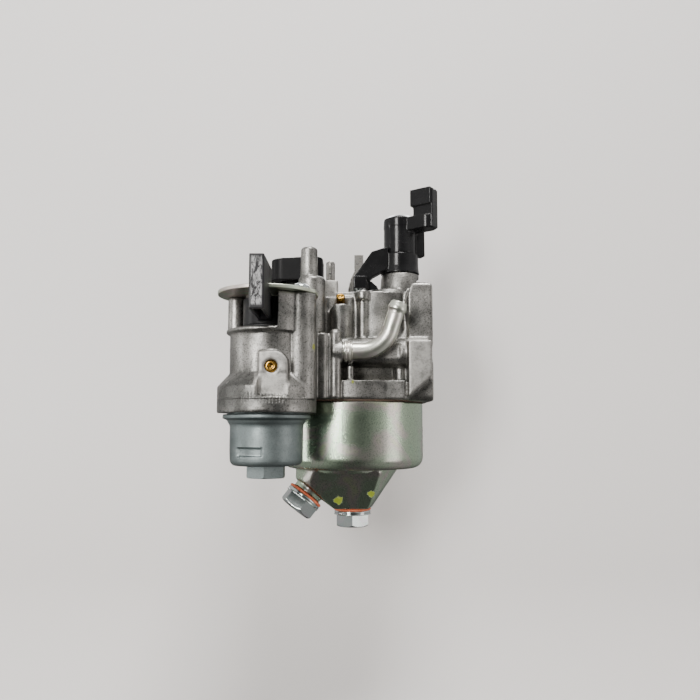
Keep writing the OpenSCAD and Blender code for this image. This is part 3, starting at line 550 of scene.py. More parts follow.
def edge_wear() -> bpy.types.NodeTree:
    """Builds the masks of worn edges and dirty hollows, both broken up by noise."""
    made = effect("Edge wear", {"Edge": (NUMBER, 0.53), "Hollow": (NUMBER, 0.47),
                                "Scale": (NUMBER, 300.0)}, {"Worn": NUMBER, "Dirty": NUMBER})
    if made:
        w, given, out = made
        sharp = w.place("ShaderNodeNewGeometry").outputs["Pointiness"]
        broken = w.noise(w.coordinates(), given.outputs["Scale"], 4, 0.65)
        limit = w.math("ADD", given.outputs["Edge"], 0.05)
        worn = w.remap(sharp, given.outputs["Edge"], limit, 0.0, 1.0, True)
        floor = w.math("SUBTRACT", given.outputs["Hollow"], 0.06)
        dirty = w.remap(sharp, floor, given.outputs["Hollow"], 1.0, 0.0, True)
        w.feed(out.inputs["Worn"], w.times(worn, w.remap(broken, 0.35, 0.6, 0.3, 1.0)))
        w.feed(out.inputs["Dirty"], w.times(dirty, w.remap(broken, 0.3, 0.6, 0.6, 1.0)))
    return bpy.data.node_groups["Edge wear"]


def plating_bloom() -> bpy.types.NodeTree:
    """Builds the faint rose, green and straw clouds of a passivated zinc coat."""
    made = effect("Plating bloom", {"Scale": (NUMBER, 60.0), "Amount": (NUMBER, 0.5),
                                    "Metal": (SHADE, (0.7, 0.7, 0.68, 1))},
                  {"Colour": SHADE, "Cloud": NUMBER})
    if made:
        w, given, out = made
        at = w.coordinates()
        cloud = w.noise(at, given.outputs["Scale"], 3, 0.55, 0.8)
        tint = w.ramp(cloud, [(0.3, (0.42, 0.62, 0.48)), (0.41, (0.66, 0.76, 0.56)),
                              (0.5, (0.66, 0.72, 0.56)), (0.57, (0.84, 0.58, 0.66)),
                              (0.63, (0.8, 0.74, 0.5)), (0.7, (0.5, 0.7, 0.7))])
        w.feed(out.inputs["Colour"], w.blend(given.outputs["Amount"], given.outputs["Metal"], tint))
        w.feed(out.inputs["Cloud"], cloud)
    return bpy.data.node_groups["Plating bloom"]


def paint_dab() -> bpy.types.NodeTree:
    """Builds the mask of one small ragged dab of inspection paint about a point."""
    made = effect("Paint dab", {"Centre": (ARROW, (0, 0, 0)), "Radius": (NUMBER, 0.001)}, {"Mask": NUMBER})
    if made:
        w, given, out = made
        at = w.place("ShaderNodeTexCoord").outputs["Object"]
        away = w.place("ShaderNodeVectorMath", {"operation": "DISTANCE"},
                       {0: at, 1: given.outputs["Centre"]}).outputs["Value"]
        ragged = w.remap(w.noise(at, 900, 3, 0.6), 0.0, 1.0, 0.35, 1.65)
        edge = w.times(given.outputs["Radius"], ragged)
        w.feed(out.inputs["Mask"], w.remap(w.math("DIVIDE", away, edge), 0.85, 1.05, 1.0, 0.0, True))
    return bpy.data.node_groups["Paint dab"]


def inside_box() -> bpy.types.NodeTree:
    """Builds the mask of an upright box about a point, with soft sides."""
    made = effect("Inside box", {"Centre": (ARROW, (0, 0, 0)), "Half": (ARROW, (0.001, 0.001, 0.001))},
                  {"Mask": NUMBER})
    if made:
        w, given, out = made
        at = w.place("ShaderNodeTexCoord").outputs["Object"]
        away = w.place("ShaderNodeVectorMath", {"operation": "SUBTRACT"},
                       {0: at, 1: given.outputs["Centre"]})
        away = w.place("ShaderNodeVectorMath", {"operation": "ABSOLUTE"}, {0: away.outputs[0]})
        past = w.place("ShaderNodeVectorMath", {"operation": "SUBTRACT"},
                       {0: away.outputs[0], 1: given.outputs["Half"]})
        split = w.place("ShaderNodeSeparateXYZ", inputs={0: past.outputs[0]})
        most = w.math("MAXIMUM", w.math("MAXIMUM", split.outputs[0], split.outputs[1]), split.outputs[2])
        w.feed(out.inputs["Mask"], w.remap(most, -0.0002, 0.0002, 1.0, 0.0, True))
    return bpy.data.node_groups["Inside box"]


def fine_scratches() -> bpy.types.NodeTree:
    """Builds thin hairline scratches: noise drawn out along one direction, with only its peaks kept."""
    made = effect("Fine scratches", {"Vector": (ARROW, (0, 0, 0)), "Scale": (NUMBER, 900.0),
                                     "Amount": (NUMBER, 0.5)}, {"Mask": NUMBER})
    if made:
        w, given, out = made
        lines = w.noise(given.outputs["Vector"], given.outputs["Scale"], 4, 0.7)
        limit = w.remap(given.outputs["Amount"], 0.0, 1.0, 0.7, 0.45)
        w.feed(out.inputs["Mask"], w.remap(lines, limit, w.math("ADD", limit, 0.1), 0.0, 1.0, True))
    return bpy.data.node_groups["Fine scratches"]


SHARED: dict[str, Callable[[], bpy.types.NodeTree]] = {
    "Surface grain": surface_grain, "Edge wear": edge_wear, "Plating bloom": plating_bloom,
    "Paint dab": paint_dab, "Inside box": inside_box, "Fine scratches": fine_scratches,
}


def new_material(name: str) -> tuple[bpy.types.Material, Weaver, bpy.types.Node]:
    """Makes an empty material and returns it with a weaver and its Principled shader."""
    material = bpy.data.materials.new(name)
    material.use_nodes = True
    return material, Weaver(material.node_tree), material.node_tree.nodes["Principled BSDF"]


def scaled(colour: Colour, factor: float) -> Colour:
    """Makes a colour lighter or darker by a factor, up to full strength."""
    return tuple(min(1.0, factor * c) for c in colour)


def dabbed(w: Weaver, colour: Any, dabs: Sequence[tuple[Point, float]], paint_colour: Colour,
           cover: float, dulled: float) -> tuple[Any, Any]:
    """Lays dabs of inspection paint over a metal's colour.

    Args:
        w: the weaver on the material.
        colour: the metal's colour.
        dabs: each dab's centre and radius in millimetres.
        paint_colour: the paint's colour.
        cover: how much of the metal's colour a dab hides.
        dulled: how much less metallic the surface is under a dab.

    Returns:
        The new colour, and the value for Metallic.
    """
    metal: Any = 1.0
    for centre, radius in dabs:
        dab = w.group("Paint dab", {"Centre": tuple(c * MM for c in centre), "Radius": radius * MM})
        colour = w.blend(w.times(dab.outputs["Mask"], cover), colour, paint_colour)
        metal = w.math("SUBTRACT", metal, w.times(dab.outputs["Mask"], dulled))
    return colour, metal


@dataclass(frozen=True)
class CastMetal:
    """Bare die-cast metal: grey, grainy, brighter on its edges and darker in its hollows, and painted
    lighter inside given boxes as a painted highlight.
    """

    name: str
    dark: Colour
    light: Colour
    scale: float = 1200.0
    depth: float = 0.05
    pits: float = 0.5
    rough: tuple[float, float] = (0.3, 0.5)
    worn: float = 0.6
    dirty: float = 0.6
    speckle: float = 0.65
    paint: Colour = (0.24, 0.27, 0.0)
    tick_count: float = 96.0
    parting: float | None = None
    # Boxes, given by low and high corners in millimetres, whose faces are painted lighter: a painted
    # highlight.
    painted_highlight_boxes: tuple[tuple[Point, Point], ...] = ()
    dabs: tuple[tuple[Point, float], ...] = ()

    def material(self) -> bpy.types.Material:
        """Builds the finish."""
        made, w, shader = new_material(self.name)
        grain = w.group("Surface grain", {"Scale": self.scale, "Pits": self.pits})
        wear = w.group("Edge wear", {"Edge": 0.52, "Hollow": 0.475, "Scale": 260.0})
        patch = w.noise(w.coordinates(), 90.0, 4, 0.6, 0.4)
        colour = w.blend(w.remap(patch, 0.35, 0.65), self.dark, self.light)
        fine = w.noise(w.coordinates(), self.scale * 1.8, 2, 0.55)
        specks = w.remap(fine, 0.5, 0.66, 0.0, self.speckle, True)
        colour = w.blend(specks, colour, scaled(self.dark, 0.35))
        colour = w.blend(w.times(wear.outputs["Dirty"], self.dirty), colour, scaled(self.dark, 0.3))
        colour = w.blend(w.times(wear.outputs["Worn"], self.worn), colour, scaled(self.light, 1.18))
        highlight_mask: Any = 0.0
        for low, high in self.painted_highlight_boxes:
            highlight_mask = w.math("MAXIMUM", highlight_mask, w.group("Inside box", {
                "Centre": tuple((a + b) / 2 * MM for a, b in zip(low, high)),
                "Half": tuple((b - a) / 2 * MM for a, b in zip(low, high))}).outputs["Mask"])
        # Inside the boxes the colour is painted lighter, a painted highlight broken up by noise.
        if self.painted_highlight_boxes:
            broken = w.remap(w.noise(w.coordinates(), 420.0, 5, 0.7), 0.34, 0.6, 0.15, 0.62)
            colour = w.blend(w.times(highlight_mask, broken), colour, scaled(self.light, 1.5))
        colour, metal = dabbed(w, colour, self.dabs, self.paint, 0.8, 0.6)
        w.feed(shader.inputs["Base Color"], colour)
        w.feed(shader.inputs["Metallic"], metal)
        rough = w.remap(grain.outputs["Cloud"], 0.3, 0.7, *self.rough)
        rough = w.math("SUBTRACT", rough, w.times(wear.outputs["Worn"], 0.08))
        # Inside the boxes the surface is also rougher.
        if self.painted_highlight_boxes:
            rough = w.math("ADD", rough, w.times(highlight_mask, 0.16), True)
        w.feed(shader.inputs["Roughness"], rough)
        normal = w.bump(grain.outputs["Height"], self.depth)
        if self.parting is not None:
            normal = w.bump(self.flash(w), 0.16, normal)
        w.feed(shader.inputs["Normal"], normal)
        return made

    def flash(self, w: Weaver) -> bpy.types.NodeSocket:
        """Gives the height of the parting line round the fuel cock: a thin ridge with filed ticks.

        The ticks stand upright and follow the angle about the fuel cock's axis.
        """
        x, y, z = w.place_xyz()
        away = w.math("ABSOLUTE", w.math("SUBTRACT", z, self.parting * MM))
        ridge = w.remap(away, 0.00012, 0.0004, 1.0, 0.0, True)
        band = w.remap(away, 0.0012, 0.0019, 1.0, 0.0, True)
        turn = w.math("ARCTAN2", w.math("SUBTRACT", y, COCK_Y * MM), w.math("SUBTRACT", x, COCK_X * MM))
        wave = w.math("SINE", w.times(turn, self.tick_count))
        ticks = w.times(w.remap(wave, 0.1, 0.9, 0.0, 1.0, True),
                        w.remap(w.noise(w.coordinates(), 240.0, 3, 0.6), 0.42, 0.56, 0.0, 1.0, True))
        near = w.remap(y, -0.035, -0.04, 0.0, 1.0, True)
        return w.times(w.math("SUBTRACT", ridge, w.times(band, ticks, 0.7)), near)


@dataclass(frozen=True)
class PlatedSteel:
    """Zinc-plated steel: satin and bright, with faint colours in its coat."""

    name: str
    metal: Colour
    bloom: float = 0.4
    bloom_scale: float = 60.0
    rough: tuple[float, float] = (0.2, 0.34)
    scratches: float = 0.3
    stretch: Point = (1, 1, 0.06)
    speckle: float = 0.0
    depth: float = 0.006
    paint: Colour = (0.2, 0.25, 0.0)
    dabs: tuple[tuple[Point, float], ...] = ()

    def material(self) -> bpy.types.Material:
        """Builds the finish."""
        made, w, shader = new_material(self.name)
        bloom = w.group("Plating bloom", {"Scale": self.bloom_scale, "Amount": self.bloom,
                                          "Metal": self.metal})
        marks = w.group("Fine scratches", {"Vector": w.coordinates(self.stretch), "Scale": 800.0,
                                           "Amount": self.scratches})
        grain = w.group("Surface grain", {"Scale": 1400.0, "Pits": 0.2})
        colour = w.blend(w.times(marks.outputs["Mask"], 0.3), bloom.outputs["Colour"],
                         scaled(self.metal, 0.6))
        if self.speckle > 0:
            specks = w.remap(w.noise(w.coordinates(), 2600.0, 2, 0.5), 0.52, 0.62, 0.0, self.speckle, True)
            colour = w.blend(specks, colour, scaled(self.metal, 0.45))
        colour, metal = dabbed(w, colour, self.dabs, self.paint, 0.95, 0.9)
        w.feed(shader.inputs["Base Color"], colour)
        w.feed(shader.inputs["Metallic"], metal)
        w.feed(shader.inputs["Roughness"], w.remap(bloom.outputs["Cloud"], 0.3, 0.7, *self.rough))
        w.feed(shader.inputs["Normal"], w.bump(grain.outputs["Height"], self.depth))
        return made


@dataclass(frozen=True)
class Moulded:
    """Black coated metal or moulded plastic, with dust in its grain and paler rubbed edges."""

    name: str
    colour: Colour
    rubbed: Colour
    rough: tuple[float, float] = (0.25, 0.4)
    wear: float = 0.3
    scale: float = 900.0
    depth: float = 0.015
    coat: float = 0.0
    gleam: float = 0.5
    # The y and middle height of the face that gets pale streaks: scuffs and a painted sheen.
    face: float | None = None
    face_middle: float = 16.8
    sheen_scuff_colour: Colour = (0.36, 0.36, 0.365)

    def material(self) -> bpy.types.Material:
        """Builds the finish."""
        made, w, shader = new_material(self.name)
        grain = w.group("Surface grain", {"Scale": self.scale, "Pits": 0.25})
        wear = w.group("Edge wear", {"Edge": 0.54, "Hollow": 0.46, "Scale": 500.0})
        colour = w.blend(w.remap(grain.outputs["Cloud"], 0.35, 0.7, 0.0, 0.35), self.colour,
                         scaled(self.colour, 1.9))
        colour = w.blend(w.times(wear.outputs["Worn"], self.wear), colour, self.rubbed)
        rough = w.remap(grain.outputs["Cloud"], 0.3, 0.7, *self.rough)
        if self.face is not None:
            colour, rough = self.sheen_and_scuffs(w, colour, rough)
        w.feed(shader.inputs["Base Color"], colour)
        w.feed(shader.inputs["Roughness"], rough)
        w.feed(shader.inputs["Normal"], w.bump(grain.outputs["Height"], self.depth))
        shader.inputs["Specular IOR Level"].default_value = self.gleam
        shader.inputs["Coat Weight"].default_value = self.coat
        shader.inputs["Coat Roughness"].default_value = 0.12
        return made

    def sheen_and_scuffs(self, w: Weaver, colour: Any, rough: Any) -> tuple[Any, Any]:
        """Adds upright pale streaks to the face that stands at one y, inside its dark rim: scuff marks
        together with a painted sheen.

        Args:
            w: the weaver on the material.
            colour: the colour below the scuffs.
            rough: the roughness below the scuffs.

        Returns:
            The new colour and roughness.
        """
        x, y, z = w.place_xyz()
        front = w.remap(y, (self.face + 0.45) * MM, (self.face + 0.2) * MM, 0.0, 1.0, True)
        aside = w.math("ABSOLUTE", w.math("SUBTRACT", x, COCK_X * MM))
        inside = w.remap(aside, 0.0013, 0.0019, 1.0, 0.0, True)
        above = w.math("ABSOLUTE", w.math("SUBTRACT", z, self.face_middle * MM))
        tall = w.remap(above, 0.0069, 0.0077, 1.0, 0.0)
        lines = w.noise(w.coordinates((1, 1, 0.3), (0, 8, 0)), 900.0, 5, 0.75, 0.8)
        sheen_streak = w.remap(lines, 0.43, 0.57, 0.0, 1.0, True)
        amount = w.times(front, inside, sheen_streak, tall)
        # The pale streaks are scuffs and a painted sheen on the front face.
        return (w.blend(w.times(amount, 0.9), colour, self.sheen_scuff_colour),
                w.math("ADD", rough, w.times(amount, 0.2), True))


@dataclass(frozen=True)
class Turned:
    """Turned or drawn bare metal, such as brass jets and plugs and a steel pin."""

    name: str
    metal: Colour
    stain: Colour
    rough: tuple[float, float] = (0.18, 0.36)
    stretch: Point = (1, 1, 12)

    def material(self) -> bpy.types.Material:
        """Builds the finish."""
        made, w, shader = new_material(self.name)
        marks = w.noise(w.coordinates(self.stretch), 700.0, 3, 0.6)
        cloud = w.noise(w.coordinates(), 500.0, 4, 0.6)
        colour = w.blend(w.remap(cloud, 0.42, 0.68), self.metal, self.stain)
        w.feed(shader.inputs["Base Color"], colour)
        w.feed(shader.inputs["Roughness"], w.remap(cloud, 0.3, 0.7, *self.rough))
        w.feed(shader.inputs["Normal"], w.bump(marks, 0.01))
        shader.inputs["Metallic"].default_value = 1.0
        return made


@dataclass(frozen=True)
class SoftPart:
    """Rubber, paper or fibre: no shine, mottled, with a fine felted grain."""

    name: str
    colour: Colour
    fleck: Colour
    rough: float = 0.8
    scale: float = 1500.0

    def material(self) -> bpy.types.Material:
        """Builds the finish."""
        made, w, shader = new_material(self.name)
        at = w.coordinates()
        fleck = w.noise(at, self.scale, 4, 0.7)
        cloud = w.noise(at, 200.0, 3, 0.6)
        colour = w.blend(w.remap(fleck, 0.4, 0.7, 0.0, 0.8), self.colour, self.fleck)
        colour = w.blend(w.remap(cloud, 0.4, 0.7, 0.0, 0.3), colour, scaled(self.colour, 0.6))
        w.feed(shader.inputs["Base Color"], colour)
        w.feed(shader.inputs["Roughness"], w.remap(cloud, 0.3, 0.7, self.rough - 0.12, self.rough + 0.08))
        w.feed(shader.inputs["Normal"], w.bump(fleck, 0.03))
        return made


class Finish(Enum):
    """The finishes of this carburetor's parts."""

    CAST = CastMetal("Cast aluminium", (0.15, 0.15, 0.142), (0.42, 0.408, 0.385), parting=-17.6,
                     # Painted highlight boxes: the lug on the air side, the fuel cock's front pad and the
                     # block by the vent pin.
                     painted_highlight_boxes=(((62.8, -40.0, -18.0), (74.0, -22.0, 7.6)),
                              ((11.6, -53.0, -16.2), (22.9, -48.9, -1.6)),
                              ((32.0, -16.0, 20.6), (38.2, -3.0, 28.5))),
                     dabs=(((43.0, -27.2, -11.2), 0.9), ((30.3, -43.2, -0.6), 1.0)))
    CUP = CastMetal("Cast zinc", (0.2, 0.235, 0.235), (0.3, 0.345, 0.345), scale=1400.0, depth=0.025,
                    pits=0.3, rough=(0.42, 0.58), worn=0.35, dirty=0.5, speckle=0.2,
                    dabs=(((0.2, -39.5, -24.3), 1.2),))
    SHEET = PlatedSteel("Zinc sheet", (0.62, 0.64, 0.55), bloom=0.35, rough=(0.38, 0.52), scratches=0.35)
    BOWL = PlatedSteel("Stamped bowl", (0.42, 0.58, 0.43), bloom=0.5, bloom_scale=46.0, rough=(0.2, 0.34),
                       scratches=0.25, speckle=0.5, depth=0.012,
                       dabs=(((37.8, -9.4, -53.6), 1.7), ((50.0, -10.6, -51.2), 1.4)))
    BRIGHT = PlatedSteel("Bright zinc", (0.6, 0.65, 0.67), bloom=0.15, bloom_scale=120.0,
                         rough=(0.14, 0.26), scratches=0.2)
    TUBE = PlatedSteel("Plated tube", (0.86, 0.86, 0.78), bloom=0.22, bloom_scale=90.0, rough=(0.27, 0.4),
                       scratches=0.3, stretch=(0.1, 1, 1))
    STEEL = Turned("Shaft steel", (0.44, 0.43, 0.41), (0.26, 0.245, 0.22), (0.22, 0.38))
    SPRING = Turned("Spring steel", (0.6, 0.6, 0.58), (0.42, 0.41, 0.38), (0.2, 0.35))
    BRASS = Turned("Brass", (0.42, 0.24, 0.05), (0.16, 0.085, 0.02), (0.14, 0.3))
    GLOSS = Moulded("Gloss black", (0.006, 0.006, 0.0065), (0.05, 0.05, 0.05), (0.18, 0.3), wear=0.12,
                    coat=0.15, gleam=0.25)
    MATTE = Moulded("Matte black", (0.007, 0.007, 0.0075), (0.05, 0.05, 0.05), (0.34, 0.5), wear=0.2,
                    gleam=0.1)
    HANDLE = Moulded("Black with scuffs and painted sheen", (0.01, 0.01, 0.011), (0.1, 0.1, 0.1), (0.34, 0.5), wear=0.3,
                     gleam=0.3, face=-67.0)
    FIBRE = SoftPart("Red fibre", (0.5, 0.09, 0.035), (0.68, 0.2, 0.09))
    GASKET = SoftPart("Brown gasket", (0.06, 0.035, 0.022), (0.13, 0.09, 0.06))
    RUBBER = SoftPart("Black rubber", (0.018, 0.018, 0.018), (0.045, 0.045, 0.045), 0.65)
    FLOAT = SoftPart("Float resin", (0.055, 0.045, 0.035), (0.1, 0.085, 0.07), 0.5)

    def paint(self) -> bpy.types.Material:
        """Returns the finish's material, and builds it the first time."""
        return bpy.data.materials.get(self.value.name) or self.value.material()


# ---------------------------------------------------------------- sub-assemblies

Frame = dict[str, Any]


def stands_for(piece: bpy.types.Object, body: str, slot: str, *nodes: str) -> bpy.types.Object:
    """Rides a new piece on a body in place of its CAD nodes.

    Args:
        piece: the new piece.
        body: the body that it moves with.
        slot: the record's material slot. Not used.
        nodes: the CAD nodes that it stands for.

    Returns:
        The piece.
    """
    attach(piece, body)
    if nodes:
        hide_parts(*nodes)
    stood = ", ".join(nodes) or "detail"
    log.info("%s: %d faces on %s for %s", piece.name, len(piece.data.polygons), body, stood)
    return piece


def keep(frame: Frame, finish: Finish, *nodes: str, bevel: float = 0.0) -> None:
    """Dresses CAD nodes that stay as they are."""
    for name in nodes:
        dress(frame["nodes"][name], finish.paint(), bevel)
        log.info("%s: kept with %s", name, finish.value.name)


@dataclass
class BodyCasting:
    """The die-cast body with its flanges, bosses, columns and fuel cock housing."""

    voxel: float = 0.45
    passes: int = 3
    plug_at: Point = (16.9, -49.6, -7.4)
    plug_r: float = 2.04
    upper_plug_at: Point = (38.7, -22.3, 19.5)
    upper_plug_r: float = 1.65
    upper_plug_tilt: float = 52.0
    pin_at: Point = (34.7, -9.6, 20.2)
    pin_r: float = 1.66
    pin_top: float = 36.3

    def build(self, frame: Frame) -> None:
        """Builds the casting, its plugs and the vent pin."""
        body = softened("body_casting", frame["nodes"]["carburetor_body"], self.voxel, self.passes)
        paint(body, Finish.CAST.paint())
        stands_for(body, "casting", "cast_aluminium", "carburetor_body")
        upper = self.plug(self.upper_plug_r, 3.3).moved((0, 0, 1.35))
        upper = upper.turned(about("x", self.upper_plug_tilt)).moved(self.upper_plug_at)
        plugs = self.plug(self.plug_r, 3.4).turned(about("x", 90)).moved(self.plug_at).with_(upper)
        brass = piece_from("brass_plugs", plugs)
        paint(brass, Finish.BRASS.paint())
        stands_for(brass, "casting", "brass", "passage_plugs")
        pin = piece_from("vent_pin", self.pin().moved(self.pin_at))
        paint(pin, Finish.STEEL.paint())
        stands_for(pin, "casting", "shaft_steel", "vent_pin")

    def plug(self, r: float, depth: float) -> Surface:
        """Gives a brass plug below z = 0: a shallow dome with a punched dimple and a rolled edge."""
        profile = rounded([(0, -0.55, 0), (0.3 * r, -0.5, 0.2), (0.42 * r, -0.08, 0.2),
                           (0.75 * r, -0.04, 0.4), (0.98 * r, -0.3, 0.3), (r, -0.7, 0.2),
                           (r, -depth, 0.3), (0, -depth, 0)])
        return revolved(profile, 48)

    def pin(self) -> Surface:
        """Gives the steel pin: a cylinder with a domed, chamfered top."""
        top = self.pin_top - self.pin_at[2]
        profile = rounded([(0, top, 0), (0.55 * self.pin_r, top - 0.05, 0.4), (self.pin_r, top - 0.6, 0.5),
                           (self.pin_r, 0.3, 0.3), (self.pin_r - 0.2, 0, 0.1), (0, 0, 0)])
        return revolved(profile, 48)


@dataclass
class FuelCock:
    """The fuel cock: lever, cover plate, screws and the sediment cup below."""

    axis: tuple[float, float] = (COCK_X, COCK_Y)
    cup_r: float = 12.2
    foot: float = -39.4
    nub_foot: float = -43.5
    nub_across: float = 12.0
    panel_turn: float = -112.0
    plate_top: float = 18.82
    screws: tuple[tuple[float, float], ...] = ((25.6, -41.0), (3.0, -33.6))

    def build(self, frame: Frame) -> None:
        """Builds the cup, the lever and the screws, and dresses the rest."""
        cup = piece_from("sediment_cup_cast", self.cup().moved((*self.axis, 0)), 50)
        paint(cup, Finish.CUP.paint())
        stands_for(cup, "casting", "cast_zinc", "sediment_cup")
        lever = softened("fuel_lever_moulded", frame["nodes"]["fuel_lever"], 0.28, 3)
        paint(lever, Finish.HANDLE.paint())
        stands_for(lever, "fuel_cock_lever", "scuffed_black", "fuel_lever")
        heads = [pan_screw(2.9, 2.2, 1.44, 9.8, 20.0 + 35 * i).moved((x, y, self.plate_top + 0.02))
                 for i, (x, y) in enumerate(self.screws)]
        screws = piece_from("cover_screws", heads[0].with_(*heads[1:]))
        paint(screws, Finish.BRIGHT.paint())
        stands_for(screws, "casting", "bright_zinc", "lever_plate_screws")
        keep(frame, Finish.SHEET, "lever_plate", bevel=0.22)
        keep(frame, Finish.SPRING, "lever_wave_spring")
        keep(frame, Finish.RUBBER, "cock_gasket", "sediment_ring")
        keep(frame, Finish.BRASS, "sediment_strainer")

    def cup(self) -> Surface:
        """Gives the sediment cup: a turned wall with a hexagonal nub and a plain sunk panel.

        Below the foot the radius is the smaller of the hexagon and a chamfer cone. On the wall the
        radius drops by 0.75 inside a soft-edged rectangle of angle and height.
        """
        r, foot, nub = self.cup_r, self.foot, self.nub_foot
        outside = rounded([
            (0, nub + 0.5, 0), (4.0, nub + 0.5, 0.4), (4.6, nub, 0.4), (6.4, nub, 0.5),
            (6.95, nub + 0.6, 0.3), (6.95, foot - 0.3, 0.3), (7.6, foot, 0.3), (r - 0.2, foot, 3.6),
            (r, foot + 4.6, 2.0), (r, -26.2, 1.0), (r + 0.7, -25.2, 0.5), (r + 0.95, -24.5, 0.3),
            (13.9, -24.2, 0.3), (14.65, -23.9, 0.3), (14.68, -22.9, 0.3), (14.4, -22.52, 0.2),
            (13.24, -22.48, 0.1), (13.22, -20.3, 0.2), (13.0, -20.12, 0.1),
            (11.1, -20.12, 0.1), (10.9, -20.4, 0.1), (10.9, -22.5, 0.4), (r - 1.6, -23.5, 0.5),
            (r - 1.6, foot + 4.0, 1.0), (r - 3.5, foot + 1.7, 1.6), (0, foot + 1.6, 0)], 7)
        profile, at, fine = divided(outside, 0.35)
        bottom_rows = np.interp(fine, at, np.arange(len(outside))) < np.argmax(outside[:, 1] > foot - 0.15)

        def section(radius: np.ndarray, height: np.ndarray, angle: np.ndarray) -> np.ndarray:
            """Cuts the hexagon and sinks the panel."""
            six = np.minimum(radius, hexagon(self.nub_across, angle))
            radius = np.where(bottom_rows[:, None] & (radius > 5.9), six, radius)
            turn = (angle - math.radians(self.panel_turn) + np.pi) % (2 * np.pi) - np.pi
            wide = 1 - smoothed(np.abs(turn) * self.cup_r, 4.1, 4.9)
            tall = smoothed(height, -36.3, -35.8) * (1 - smoothed(height, -33.6, -33.1))
            outer = radius > self.cup_r - 0.6
            return radius - 0.75 * wide * tall * outer

        return revolved(profile, 240, shape=section)


def pan_screw(r: float, h: float, shank: float, length: float, turn: float) -> Surface:
    """Gives a pan-head screw that stands on z = 0, with a cross recess and a plain shank below.

    The head's top falls by 0.8 inside a soft-edged cross: where one of |x| and |y| is under the
    blade's half width and the other is under its half length.

    Args:
        r: the head's radius.
        h: the head's height.
        shank: the shank's radius.
        length: the shank's length.
        turn: how far the cross is turned, in degrees.

    Returns:
        The surface.
    """
    top = rounded([(0, h, 0), (r * 0.7, h * 0.97, r * 0.5), (r, h * 0.55, 0.5), (r, 0.15, 0.15),
                   (r - 0.12, 0, 0.05)], 8)
    inner = np.stack([np.linspace(0, r * 0.62, 22), np.full(22, h)], -1)
    inner[:, 1] = np.interp(inner[:, 0], top[:14, 0], top[:14, 1])
    below = np.array([[shank, 0.0], [shank, -length + 0.3], [shank - 0.3, -length], [0, -length]])
    made = revolved(np.vstack([inner, top[top[:, 0] > r * 0.64], below]), 72)
    x, y, z = made.points.T
    blade, reach = 0.17 * r, 0.56 * r
    slots = [(1 - smoothed(np.abs(a), blade * 0.8, blade * 1.25))
             * (1 - smoothed(np.abs(b), reach * 0.92, reach * 1.06)) for a, b in ((x, y), (y, x))]
    made.points[:, 2] = z - 0.8 * np.maximum(*slots) * (z > h * 0.5)
    return made.turned(about("z", turn))


def flange_bolt(across: float, flange: float, shank: float, length: float) -> Surface:
    """Gives a flanged hexagon bolt that points up, with the underside of its flange at z = 0.

    The head's radius is the smaller of the hexagon and a chamfer cone, the head's face is dished,
    and the shank's radius swells and shrinks by 0.12 with each turn of its thread.

    Args:
        across: the width across flats.
        flange: the flange's radius.
        shank: the shank's radius.
        length: the shank's length.

    Returns:
        The surface.
    """
    corner = across / 2 / math.cos(math.pi / 6)
    head = rounded([(0, -5.2, 0), (3.1, -5.25, 0.5), (3.7, -5.9, 0.4), (5.5, -5.98, 0.4),
                    (corner - 0.3, -5.35, 0.7), (corner + 0.3, -4.6, 0.5), (corner + 0.3, -1.75, 0.4),
                    (flange - 0.15, -1.2, 0.35), (flange - 0.02, -0.45, 0.3), (flange - 0.25, 0, 0.1)], 7)
    turns = np.arange(0, length - 0.6, 0.12)
    rows = np.vstack([head, [[shank, 0.0]], np.stack([np.full(len(turns), shank), turns + 0.05], -1),
                      [[shank - 0.5, length], [0, length]]])
    hex_rows = len(head) - 7

    def section(radius: np.ndarray, height: np.ndarray, angle: np.ndarray) -> np.ndarray:
        """Cuts the flats and the thread."""
        row = np.arange(len(radius))[:, None]
        flats = (row < hex_rows) & (radius > across / 2 - 0.8) & (height < -1.5)
        soft = hexagon(across, angle) - 0.12
        cut = np.minimum(radius, soft)
        thread = (height > 0.3) & (height < length - 0.5)
        ridges = 0.06 * np.cos(2 * np.pi * height - angle) - 0.08
        return np.where(flats, cut, radius + np.where(thread, ridges, 0))

    return revolved(rows, 144, shape=section)


